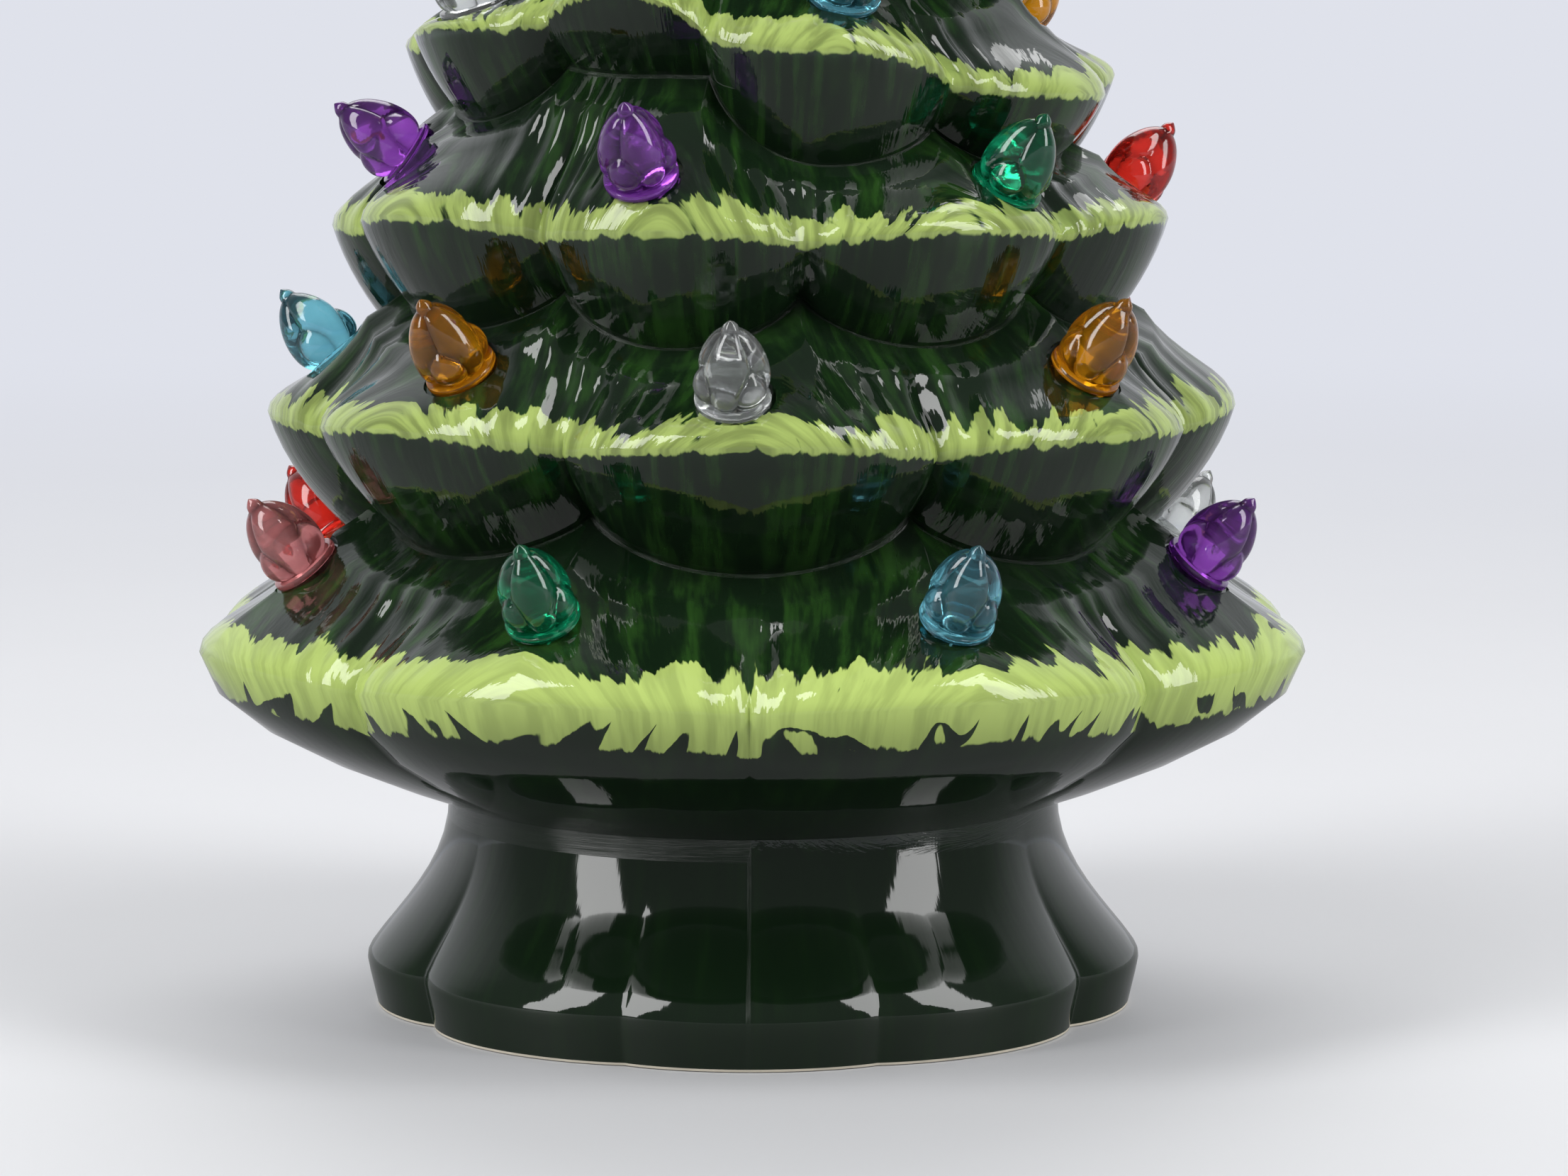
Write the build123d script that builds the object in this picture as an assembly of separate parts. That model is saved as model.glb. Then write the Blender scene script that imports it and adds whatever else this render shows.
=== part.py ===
from build123d import *
import math
import os

# A table-top ceramic tree: a hollow glazed casting with tiers of boughs on a fluted base, plastic
# bud bulbs plugged into holes in the boughs, a star plugged into the tip, and a battery light unit
# closing the open base. Millimetres, +Z up, the origin on the floor under the middle of the base.
# Angles are degrees round Z from the front, -Y, towards +X.

# Battery cells of the common slim size
CELL_RADIUS = 5.25
CELL_LENGTH = 44.5
CELL_NUB_RADIUS = 1.9
CELL_NUB_LENGTH = 1.2
CELL_PLAY = 0.4

# Light unit: a flat plug with a battery well, seated in the base
PLUG_RECESS = 0.8
PLUG_THICKNESS = 3.0
PLUG_PLAY = 0.3
WELL_WALL = 1.4
WELL_CLEARANCE = 1.0
WELL_CORNER = 2.0
CONTACT_DEPTH = 2.1
CONTACT_SHEET = 0.4
CONTACT_WIDTH = 7.0
CONTACT_TAB_WIDTH = 2.4
CONTACT_TAB_RISE = 4.6
CONTACT_PLAY = 0.1

# Battery door, hinged on one long side
DOOR_THICKNESS = 1.6
DOOR_LIP = 2.4
DOOR_PLAY = 0.3
DOOR_PIN_RADIUS = 0.55
DOOR_PIN_LENGTH = 1.6
DOOR_PIN_PLAY = 0.15
DOOR_GRIP_LENGTH = 12.0
DOOR_GRIP_DEPTH = 0.5
DOOR_GRIP_PITCH = 1.6
DOOR_GRIP_WIDTH = 0.7
DOOR_GRIPS = 4
FINGER_NOTCH_RADIUS = 5.0

# Slide switch beside the well
SWITCH_LENGTH = 9.0
SWITCH_WIDTH = 5.0
SWITCH_HEIGHT = 5.0
SWITCH_GAP = 2.4
SWITCH_TRAVEL = 3.0
KNOB_LENGTH = 3.4
KNOB_WIDTH = 2.6
KNOB_HEIGHT = 0.8
KNOB_STEM = 1.6
KNOB_PLAY = 0.25
KNOB_RIDGE = 0.3

# Lamp board on two posts over the well
BOARD_LENGTH = 22.0
BOARD_WIDTH = 18.0
BOARD_THICKNESS = 1.2
POST_HEIGHT = 2.2
POST_RADIUS = 2.0
SCREW_RADIUS = 0.8
SCREW_LENGTH = 3.4
SCREW_HEAD_RADIUS = 1.6
SCREW_HEAD_HEIGHT = 1.0
SCREW_SLOT = 0.5
SCREW_PLAY = 0.1
LAMP_RADIUS = 2.5
LAMP_LENGTH = 8.6
LAMP_RIM = 0.4
LAMP_RIM_HEIGHT = 1.0
LEAD_RADIUS = 0.55
LEAD_BEND = 3.4

# Ceramic body
WALL = 3.4
BODY_HEIGHT = 163.0
SKIRT_RADIUS = 61.5
SKIRT_HEIGHT = 40.0
NECK_HEIGHT = 22.6
FOOT_FLARE = 9.4
FOOT_BAND_HEIGHT = 5.6
FOOT_TUCK = 1.3
FLUTE_DEPTH = 1.8
RECESS_LEDGE = 5.0
TIP_RADIUS = 4.6
TIP_DROP = 3.0
BOUGH_ARCH = 1.4
SECTION_POINTS = 96
PROFILE_STEPS = 12
HEIGHT_STEPS = 140

# Bulbs: a peg, a thin flange and a bud of petals
PEG_RADIUS = 2.4
PEG_LENGTH = 7.0
PEG_PLAY = 0.25
FLANGE_RADIUS = 3.85
FLANGE_THICKNESS = 0.8
FLANGE_PLAY = 0.45
SEAT_SINK = 0.35
SEAT_GAP = 0.12
BUD_RADIUS = 4.2
BUD_LENGTH = 9.4
FLANGE_ROUND = 0.25

# Star on the tip
STAR_RADIUS = 11.0
STAR_WAIST = 5.0
STAR_THICKNESS = 6.0
STAR_STEM_RADIUS = 2.2
STAR_STEM_LENGTH = 9.0
STAR_COLLAR_RADIUS = 3.6
STAR_COLLAR_HEIGHT = 1.6
STAR_PLAY = 0.25
STAR_SEAT_GAP = 0.12
STAR_TIP_GAP = 0.9

# How far every cutting tool runs past the material it cuts
OVERRUN = 5.0

# Worked out from the sizes above
WELL_LENGTH = CELL_LENGTH + CELL_NUB_LENGTH + 2 * CONTACT_DEPTH
WELL_WIDTH = 4 * CELL_RADIUS + 3 * CELL_PLAY
PLUG_TOP = PLUG_RECESS + PLUG_THICKNESS
DOOR_TOP = PLUG_RECESS + DOOR_THICKNESS
CELL_HEIGHT = DOOR_TOP + CELL_PLAY + CELL_RADIUS
WELL_ROOF = CELL_HEIGHT + CELL_RADIUS + CELL_PLAY
WELL_TOP = WELL_ROOF + WELL_WALL
WELL_HALF_LENGTH = WELL_LENGTH / 2 + WELL_WALL
WELL_HALF_WIDTH = WELL_WIDTH / 2 + WELL_WALL
BASE_BORE = math.hypot(WELL_HALF_LENGTH, WELL_HALF_WIDTH) + WELL_CLEARANCE
NECK_RADIUS = BASE_BORE + WALL
FOOT_RADIUS = NECK_RADIUS + FOOT_FLARE
RECESS_RADIUS = BASE_BORE + RECESS_LEDGE
PLUG_RADIUS = RECESS_RADIUS - PLUG_PLAY
BOARD_BOTTOM = WELL_TOP + POST_HEIGHT
BOARD_TOP = BOARD_BOTTOM + BOARD_THICKNESS
DOOR_LENGTH = WELL_LENGTH + 2 * DOOR_LIP
DOOR_WIDTH = WELL_WIDTH + 2 * DOOR_LIP
HINGE_LINE = Pos(0, (DOOR_WIDTH - DOOR_THICKNESS) / 2, PLUG_RECESS + DOOR_THICKNESS / 2) * Rot(Y=90)
CELL_PLACE = CELL_RADIUS + CELL_PLAY / 2
TAB_PLACE = CONTACT_SHEET / 2 - WELL_LENGTH / 2
SWITCH_COLUMN = -(FINGER_NOTCH_RADIUS + SWITCH_LENGTH / 2 + SWITCH_GAP / 2)
SWITCH_ROW = -(WELL_HALF_WIDTH + SWITCH_GAP + SWITCH_WIDTH / 2)
SWITCH_PLACE = (SWITCH_COLUMN, SWITCH_ROW)
KNOB_RUN = KNOB_LENGTH + SWITCH_TRAVEL + 2 * KNOB_PLAY
KNOB_ROOM = KNOB_HEIGHT + KNOB_PLAY
STEM_RUN = KNOB_STEM + SWITCH_TRAVEL + 2 * KNOB_PLAY
BOARD_POSTS = ((BOARD_LENGTH / 2 - POST_RADIUS, 0), (POST_RADIUS - BOARD_LENGTH / 2, 0))
HOLE_RADIUS = PEG_RADIUS + PEG_PLAY
STAR_BORE = STAR_STEM_RADIUS + STAR_PLAY

# Tiers of boughs from the skirt up: rim radius as a share of the skirt's, rim height as a share of
# the way from the skirt to the tip, and how far the rim overhangs, as a share of its radius
RIM_RADIUS_SHARES = (1.0, 0.862, 0.750, 0.640, 0.520, 0.410, 0.305, 0.205)
RIM_RISE_SHARES = (0.0, 0.202, 0.372, 0.512, 0.632, 0.738, 0.831, 0.916)
OVERHANG_SHARES = (0.0, 0.125, 0.100, 0.085, 0.085, 0.090, 0.100, 0.120)
TIERS = len(RIM_RADIUS_SHARES)

# Valleys between the boughs of each tier
NOTCH_ANGLES = (
    (0, 45, 90, 135, 180, 225, 270, 315),
    (22.5, 67.5, 112.5, 157.5, 202.5, 247.5, 292.5, 337.5),
    (7.5, 48.75, 90, 135, 183.75, 232.5, 285, 330),
    (33.75, 78.75, 127.5, 176.25, 225, 277.5, 322.5, 352.5),
    (15, 67.5, 120, 172.5, 221.25, 270, 318.75),
    (45, 105, 165, 225, 285, 345),
    (15, 90, 157.5, 232.5, 300),
    (60, 150, 240, 330),
)
# Boughs that ride higher or lower than their tier, as shares of the gap to the tier below
LIFT_SHARES = (
    (0, 0, 0, 0, 0, 0, 0, 0),
    (0, 0.03, 0, -0.04, 0.03, 0, 0.02, 0),
    (0, 0.02, -0.05, 0.06, 0, -0.04, 0.05, 0),
    (-0.22, -0.08, 0.06, -0.06, 0.08, 0.18, 0.38, 0.05),
    (0.05, -0.06, 0.08, -0.05, 0.05, 0.10, 0.28),
    (0, 0.08, -0.06, 0.06, 0.05, 0.08),
    (0.05, -0.05, 0.06, 0, 0.05),
    (0, 0.06, 0, -0.06),
)
# How deep each bough's underside hangs below its rim, as shares of the same gap
HANG_SHARES = (
    (0.56,) * 8,
    (0.54,) * 8,
    (0.57,) * 8,
    (0.44, 0.58, 0.60, 0.56, 0.60, 0.56, 0.48, 0.68),
    (0.62,) * 7,
    (0.60,) * 6,
    (0.60,) * 5,
    (0.60,) * 4,
)
FLUTE_ANGLES = (18.75, 60, 97.5, 138.75, 180, 221.25, 262.5, 300, 341.25)
FLUTE_SHARES = (0.45, 1.0, 0.8, 0.6, 1.0, 0.7, 0.9, 1.0, 0.45)

# How a bough is drawn: its valley depth as a share of the rim radius, how deep the valley hangs as a
# share of the tier gap, the slope of the trunk behind it, and the pull of its two curves
VALLEY_SHARE = 0.075
HANG_VALLEY_SHARE = 0.32
TRUNK_SLOPE = 0.38
CROWN_POWER = 0.75
UNDER_OUT_SHARE = 0.36
UNDER_UP_SHARE = 0.20
UNDER_RIM_SHARE = 0.42
TOP_RIM_SHARE = 0.32
TOP_IN_SHARE = 0.10
TOP_UP_SHARE = 0.45
TIP_FOOT_SHARE = 0.11
TIP_PULL_SHARE = 0.35
FLARE_OUT_SHARE = 0.42
FLARE_UP_SHARE = 0.30
FLARE_NECK_SHARE = 0.45
CURVE_SHARES = (0, 1 / 3, 2 / 3, 1)
STATION_SHARE = 0.2
SLOPE_SHARE = 0.02

# How a bud is drawn: for its core and its two whorls of petals, the radius and length as shares of the
# bud's, and for petals how far they stand from the axis as a share of the bud's radius
CORE_SHARES = (0.48, 1.0)
UPPER_PETAL_SHARES = (0.62, 0.92, 0.46)
LOWER_PETAL_SHARES = (0.60, 0.56, 0.40)
UPPER_PETAL_LEAN = -11
LOWER_PETAL_LEAN = -5
DROP_LOW_SHARE = 1.35
DROP_HIGH_SHARE = 1.26
DROP_SHOULDER_SHARE = 0.86
PETALS = 3
BULB_TURN = 77

# Bulbs: tier, angle, place along the bough's top as a share of the way in from its rim, colour
BULBS = (
    (0, 22.5, 0.54, "aqua"),
    (0, 67.5, 0.66, "purple"),
    (0, 115.0, 0.62, "clear"),
    (0, 157.5, 0.60, "amber"),
    (0, 202.5, 0.60, "aqua"),
    (0, 247.5, 0.62, "red"),
    (0, 292.5, 0.66, "pink"),
    (0, 337.5, 0.54, "emerald"),
    (1, 358.0, 0.54, "clear"),
    (1, 47.0, 0.57, "amber"),
    (1, 125.0, 0.60, "red"),
    (1, 178.0, 0.58, "purple"),
    (1, 225.0, 0.60, "emerald"),
    (1, 268.0, 0.74, "aqua"),
    (1, 320.0, 0.66, "amber"),
    (2, 345.0, 0.42, "purple"),
    (2, 41.0, 0.67, "emerald"),
    (2, 96.0, 0.61, "red"),
    (2, 160.0, 0.58, "aqua"),
    (2, 225.0, 0.58, "amber"),
    (2, 283.0, 0.70, "purple"),
    (3, 17.0, 0.64, "aqua"),
    (3, 120.0, 0.58, "amber"),
    (3, 180.0, 0.58, "purple"),
    (3, 235.0, 0.58, "red"),
    (3, 300.0, 0.60, "clear"),
    (4, 300.0, 0.56, "red"),
    (4, 55.0, 0.56, "emerald"),
    (4, 145.0, 0.56, "amber"),
    (4, 225.0, 0.56, "clear"),
    (5, 15.0, 0.54, "purple"),
    (5, 135.0, 0.54, "aqua"),
    (5, 255.0, 0.54, "emerald"),
)


def bezier(start, pull_start, pull_end, end, share):
    """A point on a cubic curve in the (radius, height) half plane."""
    back = 1 - share
    weights = (back**3, 3 * back * back * share, 3 * back * share * share, share**3)
    points = (start, pull_start, pull_end, end)
    radius = sum(weight * point[0] for weight, point in zip(weights, points))
    height = sum(weight * point[1] for weight, point in zip(weights, points))
    return radius, height


def find_bough(notches, angle):
    """Which bough an angle falls on, and how far across it lies, from -1 to 1."""
    ends = notches[1:] + (notches[0] + 360,)
    for bough, (start, end) in enumerate(zip(notches, ends)):
        place = (angle - start) % 360
        if place < end - start:
            return bough, 2 * place / (end - start) - 1
    raise ValueError(f"no bough at {angle} degrees")


def crown_share(notches, angle):
    """0 in the valley between two boughs, 1 on the crown of a bough."""
    across = find_bough(notches, angle)[1]
    return (1 - across * across) ** CROWN_POWER


def tier_height(tier):
    """Nominal rim height of a tier."""
    return SKIRT_HEIGHT + (BODY_HEIGHT - SKIRT_HEIGHT) * RIM_RISE_SHARES[tier]


def tier_gap(tier):
    """Height from the rim of the tier below, or from the neck for the skirt."""
    below = tier_height(tier - 1) if tier else NECK_HEIGHT
    return tier_height(tier) - below


def bough_lift(tier, angle):
    """How much higher than its tier the rim rides at an angle."""
    lifts = LIFT_SHARES[tier]
    bough, across = find_bough(NOTCH_ANGLES[tier], angle)
    beside = lifts[(bough + (1 if across > 0 else -1)) % len(lifts)]
    crown = crown_share(NOTCH_ANGLES[tier], angle)
    lift = crown * lifts[bough] + (1 - crown) * (lifts[bough] + beside) / 2
    return lift * tier_gap(tier)


def rim_point(tier, angle):
    """The widest point of a tier at an angle."""
    valley = 1 - crown_share(NOTCH_ANGLES[tier], angle)
    lift = bough_lift(tier, angle)
    radius = SKIRT_RADIUS * RIM_RADIUS_SHARES[tier] * (1 - VALLEY_SHARE * valley)
    return radius - TRUNK_SLOPE * lift, tier_height(tier) + lift - BOUGH_ARCH * valley


def crotch_point(tier, angle):
    """Where the underside of a tier meets the tier below, or the base's neck."""
    if tier == 0:
        return NECK_RADIUS, NECK_HEIGHT
    if tier == TIERS:
        return SKIRT_RADIUS * TIP_FOOT_SHARE, BODY_HEIGHT - TIP_DROP
    crown = crown_share(NOTCH_ANGLES[tier], angle)
    gap = tier_gap(tier)
    deepest = HANG_SHARES[tier][find_bough(NOTCH_ANGLES[tier], angle)[0]]
    hang = HANG_VALLEY_SHARE + (deepest - HANG_VALLEY_SHARE) * crown
    height = tier_height(tier) + bough_lift(tier, angle) - gap * hang
    foot = SKIRT_RADIUS * RIM_RADIUS_SHARES[tier] * (1 - OVERHANG_SHARES[tier])
    drop = tier_height(tier) - gap * HANG_VALLEY_SHARE - height
    return foot + TRUNK_SLOPE * drop, height


def under_point(tier, angle, share):
    """A point on a bough's underside, from the crotch out to the rim."""
    crotch = crotch_point(tier, angle)
    rim = rim_point(tier, angle)
    reach = rim[0] - crotch[0]
    rise = rim[1] - crotch[1]
    pull_crotch = (crotch[0] + UNDER_OUT_SHARE * reach, crotch[1] + UNDER_UP_SHARE * rise)
    pull_rim = (rim[0], rim[1] - UNDER_RIM_SHARE * rise)
    return bezier(crotch, pull_crotch, pull_rim, rim, share)


def top_point(tier, angle, share):
    """A point on a bough's top, from the rim in to the crotch of the tier above."""
    rim = rim_point(tier, angle)
    crotch = crotch_point(tier + 1, angle)
    reach = rim[0] - crotch[0]
    rise = crotch[1] - rim[1]
    pull_rim = (rim[0], rim[1] + TOP_RIM_SHARE * rise)
    pull_crotch = (crotch[0] + TOP_IN_SHARE * reach, rim[1] + TOP_UP_SHARE * rise)
    return bezier(rim, pull_rim, pull_crotch, crotch, share)


def flute_depth(angle):
    """Depth of the base's flutes at the foot, at an angle."""
    bough, across = find_bough(FLUTE_ANGLES, angle)
    notch = bough + 1 if across > 0 else bough
    deep = FLUTE_SHARES[notch % len(FLUTE_SHARES)]
    return FLUTE_DEPTH * deep * (1 - crown_share(FLUTE_ANGLES, angle))


def foot_point(angle, share):
    """A point on the foot band, from the floor up to its edge."""
    radius = FOOT_RADIUS - FOOT_TUCK * (1 - share) - flute_depth(angle)
    return radius, FOOT_BAND_HEIGHT * share


def flare_point(angle, share):
    """A point on the base's flare, from the foot band up to the neck."""
    edge = foot_point(angle, 1)
    reach = edge[0] - NECK_RADIUS
    rise = NECK_HEIGHT - edge[1]
    pull_edge = (edge[0] - FLARE_OUT_SHARE * reach, edge[1] + FLARE_UP_SHARE * rise)
    pull_neck = (NECK_RADIUS, NECK_HEIGHT - FLARE_NECK_SHARE * rise)
    return bezier(edge, pull_edge, pull_neck, (NECK_RADIUS, NECK_HEIGHT), share)


def tip_point(angle, share):
    """A point on the rounded tip, from the last crotch up to the flat round the star's bore."""
    foot = crotch_point(TIERS, angle)
    pull = (foot[0], BODY_HEIGHT - TIP_DROP * TIP_PULL_SHARE)
    return bezier(foot, pull, pull, (TIP_RADIUS, BODY_HEIGHT), share)


def turn(radius, height, angle):
    """A point in space from its radius, height and angle round the tree."""
    return Vector(radius * math.sin(math.radians(angle)), -radius * math.cos(math.radians(angle)), height)


def ring(outline, share):
    """A closed curve round the tree through the same share of an outline at every angle."""
    angles = [360 * point / SECTION_POINTS for point in range(SECTION_POINTS)]
    points = [turn(*outline(angle, share), angle) for angle in angles]
    steps = [float(step) for step in range(SECTION_POINTS + 1)]
    return Wire([Edge.make_spline(points, periodic=True, parameters=steps)])


def skin(outline, shares=CURVE_SHARES):
    """A face lofted through rings of an outline."""
    return Shell.make_loft([ring(outline, share) for share in shares]).faces()


def outlines():
    """Every outline of the body in order from the floor to the tip."""
    chain = [foot_point, flare_point]
    for tier in range(TIERS):
        chain.append(lambda angle, share, tier=tier: under_point(tier, angle, share))
        chain.append(lambda angle, share, tier=tier: top_point(tier, angle, share))
    chain.append(tip_point)
    return chain


def narrowest(chain):
    """Heights from the neck up with the least outer radius of the body at each."""
    fine_shares = [step / PROFILE_STEPS for step in range(PROFILE_STEPS + 1)]
    angles = [360 * point / SECTION_POINTS for point in range(0, SECTION_POINTS, 2)]
    profiles = [[outline(angle, share) for outline in chain for share in fine_shares] for angle in angles]
    rise = (BODY_HEIGHT - NECK_HEIGHT) / HEIGHT_STEPS
    heights = [NECK_HEIGHT + rise * step for step in range(HEIGHT_STEPS + 1)]
    least = []
    for height in heights:
        radii = []
        for profile in profiles:
            for low, high in zip(profile, profile[1:]):
                if low[1] <= height <= high[1] and high[1] > low[1]:
                    share = (height - low[1]) / (high[1] - low[1])
                    radii.append(low[0] + share * (high[0] - low[0]))
                    break
        least.append((height, min(radii)))
    return least


def cavity_outline(chain):
    """The hollow's profile: the body's narrowest profile drawn in by the wall all round."""
    least = narrowest(chain)
    stations = [NECK_HEIGHT]
    for tier in range(1, TIERS):
        gap = tier_gap(tier)
        stations.append(tier_height(tier - 1) + gap * STATION_SHARE)
        stations.append(tier_height(tier) - gap * HANG_VALLEY_SHARE)
    points = []
    for station in stations:
        near = [(height - station, radius) for height, radius in least if abs(height - station) <= WALL]
        inner = min(radius - math.sqrt(WALL * WALL - offset * offset) for offset, radius in near)
        if inner > STAR_BORE:
            points.append((min(inner, SKIRT_RADIUS), station))
    return points


def bulb_plane(tier, angle, share):
    """Where a bulb's flange seats, with its axis square to the bough's top there."""
    radius, height = top_point(tier, angle, share)
    before = top_point(tier, angle, share - SLOPE_SHARE)
    after = top_point(tier, angle, share + SLOPE_SHARE)
    slope = math.atan2(before[0] - after[0], after[1] - before[1])
    lean = 90 - math.degrees(slope)
    out = turn(math.sin(math.radians(lean)), math.cos(math.radians(lean)), angle)
    side = turn(1, 0, angle + 90)
    seat = turn(radius, height, angle) - out * SEAT_SINK
    return Plane(origin=seat, x_dir=side, z_dir=out)


def ceramic_body():
    """The glazed casting: lofted skins sewn shut, hollowed, and drilled for the bulbs and star."""
    chain = outlines()
    faces = skin(chain[0], (0, 1))
    for outline in chain[1:]:
        faces += skin(outline)
    faces.append(Face(ring(foot_point, 0)))
    faces.append(Face(ring(tip_point, 1)))
    body = Solid(Shell(faces))
    inner = cavity_outline(chain)
    top = inner[-1][1]
    bore_top = BODY_HEIGHT + OVERRUN
    profile = [(0, -OVERRUN), (RECESS_RADIUS, -OVERRUN), (RECESS_RADIUS, PLUG_TOP), (BASE_BORE, PLUG_TOP)]
    profile += inner
    profile += [(STAR_BORE, top), (STAR_BORE, bore_top), (0, bore_top)]
    hollow = revolve(Plane.XZ * make_face(Polyline(*profile, close=True)), Axis.Z)
    cuts = [hollow]
    for tier, angle, share, colour in BULBS:
        seat = bulb_plane(tier, angle, share)
        drill = post(HOLE_RADIUS, PEG_LENGTH + OVERRUN, (0, 0), -PEG_LENGTH - OVERRUN)
        face = post(FLANGE_RADIUS + FLANGE_PLAY, OVERRUN, (0, 0), 0)
        cuts += [seat * drill, seat * face]
    return body.cut(*cuts)


def block(length, width, height, centre, floor):
    """A box from its plan size, its plan centre and the height of its underside."""
    base = Align.CENTER, Align.CENTER, Align.MIN
    return Pos(centre[0], centre[1], floor) * Box(length, width, height, align=base)


def post(radius, height, centre, floor):
    """An upright cylinder from its plan centre and the height of its underside."""
    base = Align.CENTER, Align.CENTER, Align.MIN
    return Pos(centre[0], centre[1], floor) * Cylinder(radius, height, align=base)


def drop(radius, length):
    """A solid drop, round below and pointed above, standing on the origin."""
    low = (DROP_LOW_SHARE * radius, 0)
    high = (DROP_HIGH_SHARE * radius, DROP_SHOULDER_SHARE * length)
    side = Bezier((0, 0), low, high, (0, length))
    return revolve(Plane.XZ * make_face(side + Line((0, length), (0, 0))), Axis.Z)


def whorl(shares, lean, first):
    """A ring of petals round the bud's axis."""
    radius, length, stand = shares
    petal = Pos(X=stand * BUD_RADIUS) * Rot(Y=lean) * drop(radius * BUD_RADIUS, length * BUD_LENGTH)
    return [Rot(Z=first + 360 * step / PETALS) * petal for step in range(PETALS)]


def bulb():
    """A moulded bulb on its own axis, with its seat at the origin: peg, flange and petals."""
    flange = fillet(post(FLANGE_RADIUS, FLANGE_THICKNESS, (0, 0), SEAT_GAP).edges(), FLANGE_ROUND)
    peg = post(PEG_RADIUS, PEG_LENGTH + FLANGE_THICKNESS / 2, (0, 0), SEAT_GAP - PEG_LENGTH)
    core_radius, core_length = CORE_SHARES
    petals = [drop(core_radius * BUD_RADIUS, core_length * BUD_LENGTH)]
    petals += whorl(UPPER_PETAL_SHARES, UPPER_PETAL_LEAN, 0)
    petals += whorl(LOWER_PETAL_SHARES, LOWER_PETAL_LEAN, 180 / PETALS)
    rise = Pos(Z=SEAT_GAP + FLANGE_THICKNESS / 2)
    return flange.fuse(peg, *(rise * petal for petal in petals))


def bulb_name(index):
    """A bulb's name from its tier, its place there and its colour."""
    tier, angle, share, colour = BULBS[index]
    place = [other for other in range(index) if BULBS[other][0] == tier]
    return f"bulb_{tier + 1}{chr(ord('a') + len(place))}_{colour}"


def star_topper():
    """A faceted star with a collar that seats on the tip and a stem in its bore."""
    seat = BODY_HEIGHT + STAR_SEAT_GAP
    middle = seat + STAR_TIP_GAP + STAR_RADIUS * math.cos(math.radians(36))
    corners = []
    for point in range(10):
        reach = STAR_WAIST if point % 2 else STAR_RADIUS
        turned = math.radians(90 + 36 * point)
        corners.append((reach * math.cos(turned), 0, middle + reach * math.sin(turned)))
    edge = Wire.make_polygon(corners, close=True)
    front = Solid.make_loft([edge, Vertex(0, -STAR_THICKNESS / 2, middle)], ruled=True)
    back = Solid.make_loft([edge, Vertex(0, STAR_THICKNESS / 2, middle)], ruled=True)
    collar = post(STAR_COLLAR_RADIUS, STAR_COLLAR_HEIGHT, (0, 0), seat)
    stem = post(STAR_STEM_RADIUS, STAR_STEM_LENGTH + middle - seat, (0, 0), seat - STAR_STEM_LENGTH)
    return collar.fuse(stem, front, back)


def battery_housing():
    """The plug that closes the base, with the battery well, posts, switch slot and door seat."""
    plate = post(PLUG_RADIUS, PLUG_THICKNESS, (0, 0), PLUG_RECESS)
    well = block(2 * WELL_HALF_LENGTH, 2 * WELL_HALF_WIDTH, WELL_TOP - PLUG_TOP, (0, 0), PLUG_TOP)
    well = fillet(well.edges().filter_by(Axis.Z), WELL_CORNER)
    posts = [post(POST_RADIUS, POST_HEIGHT, place, WELL_TOP) for place in BOARD_POSTS]
    housing = plate.fuse(well, *posts)
    rebate_width = DOOR_WIDTH + 2 * DOOR_PLAY
    rebate_depth = DOOR_THICKNESS + DOOR_PLAY + OVERRUN
    cuts = [
        block(WELL_LENGTH, WELL_WIDTH, WELL_ROOF + OVERRUN, (0, 0), -OVERRUN),
        block(DOOR_LENGTH + 2 * DOOR_PLAY, rebate_width, rebate_depth, (0, 0), PLUG_RECESS - OVERRUN),
        post(FINGER_NOTCH_RADIUS, DOOR_THICKNESS + OVERRUN, (0, -DOOR_WIDTH / 2), PLUG_RECESS - OVERRUN),
        block(KNOB_RUN, KNOB_WIDTH + 2 * KNOB_PLAY, KNOB_ROOM + OVERRUN, SWITCH_PLACE, PLUG_RECESS - OVERRUN),
        block(STEM_RUN, KNOB_STEM + 2 * KNOB_PLAY, PLUG_TOP + OVERRUN, SWITCH_PLACE, 0),
    ]
    pin_length = DOOR_LENGTH + 2 * (DOOR_PIN_LENGTH + DOOR_PLAY)
    cuts.append(HINGE_LINE * Cylinder(DOOR_PIN_RADIUS + DOOR_PIN_PLAY, pin_length))
    for place in BOARD_POSTS:
        cuts.append(post(SCREW_RADIUS + SCREW_PLAY, OVERRUN, place, BOARD_TOP - SCREW_LENGTH))
    for side in (-1, 1):
        tab = (TAB_PLACE, side * CELL_PLACE)
        slot = CONTACT_SHEET + 2 * CONTACT_PLAY, CONTACT_TAB_WIDTH + 2 * CONTACT_PLAY
        cuts.append(block(*slot, WELL_WALL + OVERRUN, tab, WELL_ROOF - OVERRUN / 2))
    return housing.cut(*cuts)


def battery_door():
    """The cover under the cells: a plate with grip grooves, round-nosed along its hinge pins."""
    straight = DOOR_WIDTH - DOOR_THICKNESS / 2
    plate = block(DOOR_LENGTH, straight, DOOR_THICKNESS, (0, -DOOR_THICKNESS / 4), PLUG_RECESS)
    nose = HINGE_LINE * Cylinder(DOOR_THICKNESS / 2, DOOR_LENGTH)
    pins = HINGE_LINE * Cylinder(DOOR_PIN_RADIUS, DOOR_LENGTH + 2 * DOOR_PIN_LENGTH)
    door = plate.fuse(nose, pins)
    cuts = []
    for groove in range(DOOR_GRIPS):
        place = (0, DOOR_GRIP_PITCH * (groove + 1) - DOOR_WIDTH / 2)
        size = DOOR_GRIP_LENGTH, DOOR_GRIP_WIDTH, DOOR_GRIP_DEPTH + OVERRUN
        cuts.append(block(*size, place, PLUG_RECESS - OVERRUN))
    return door.cut(*cuts)


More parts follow.
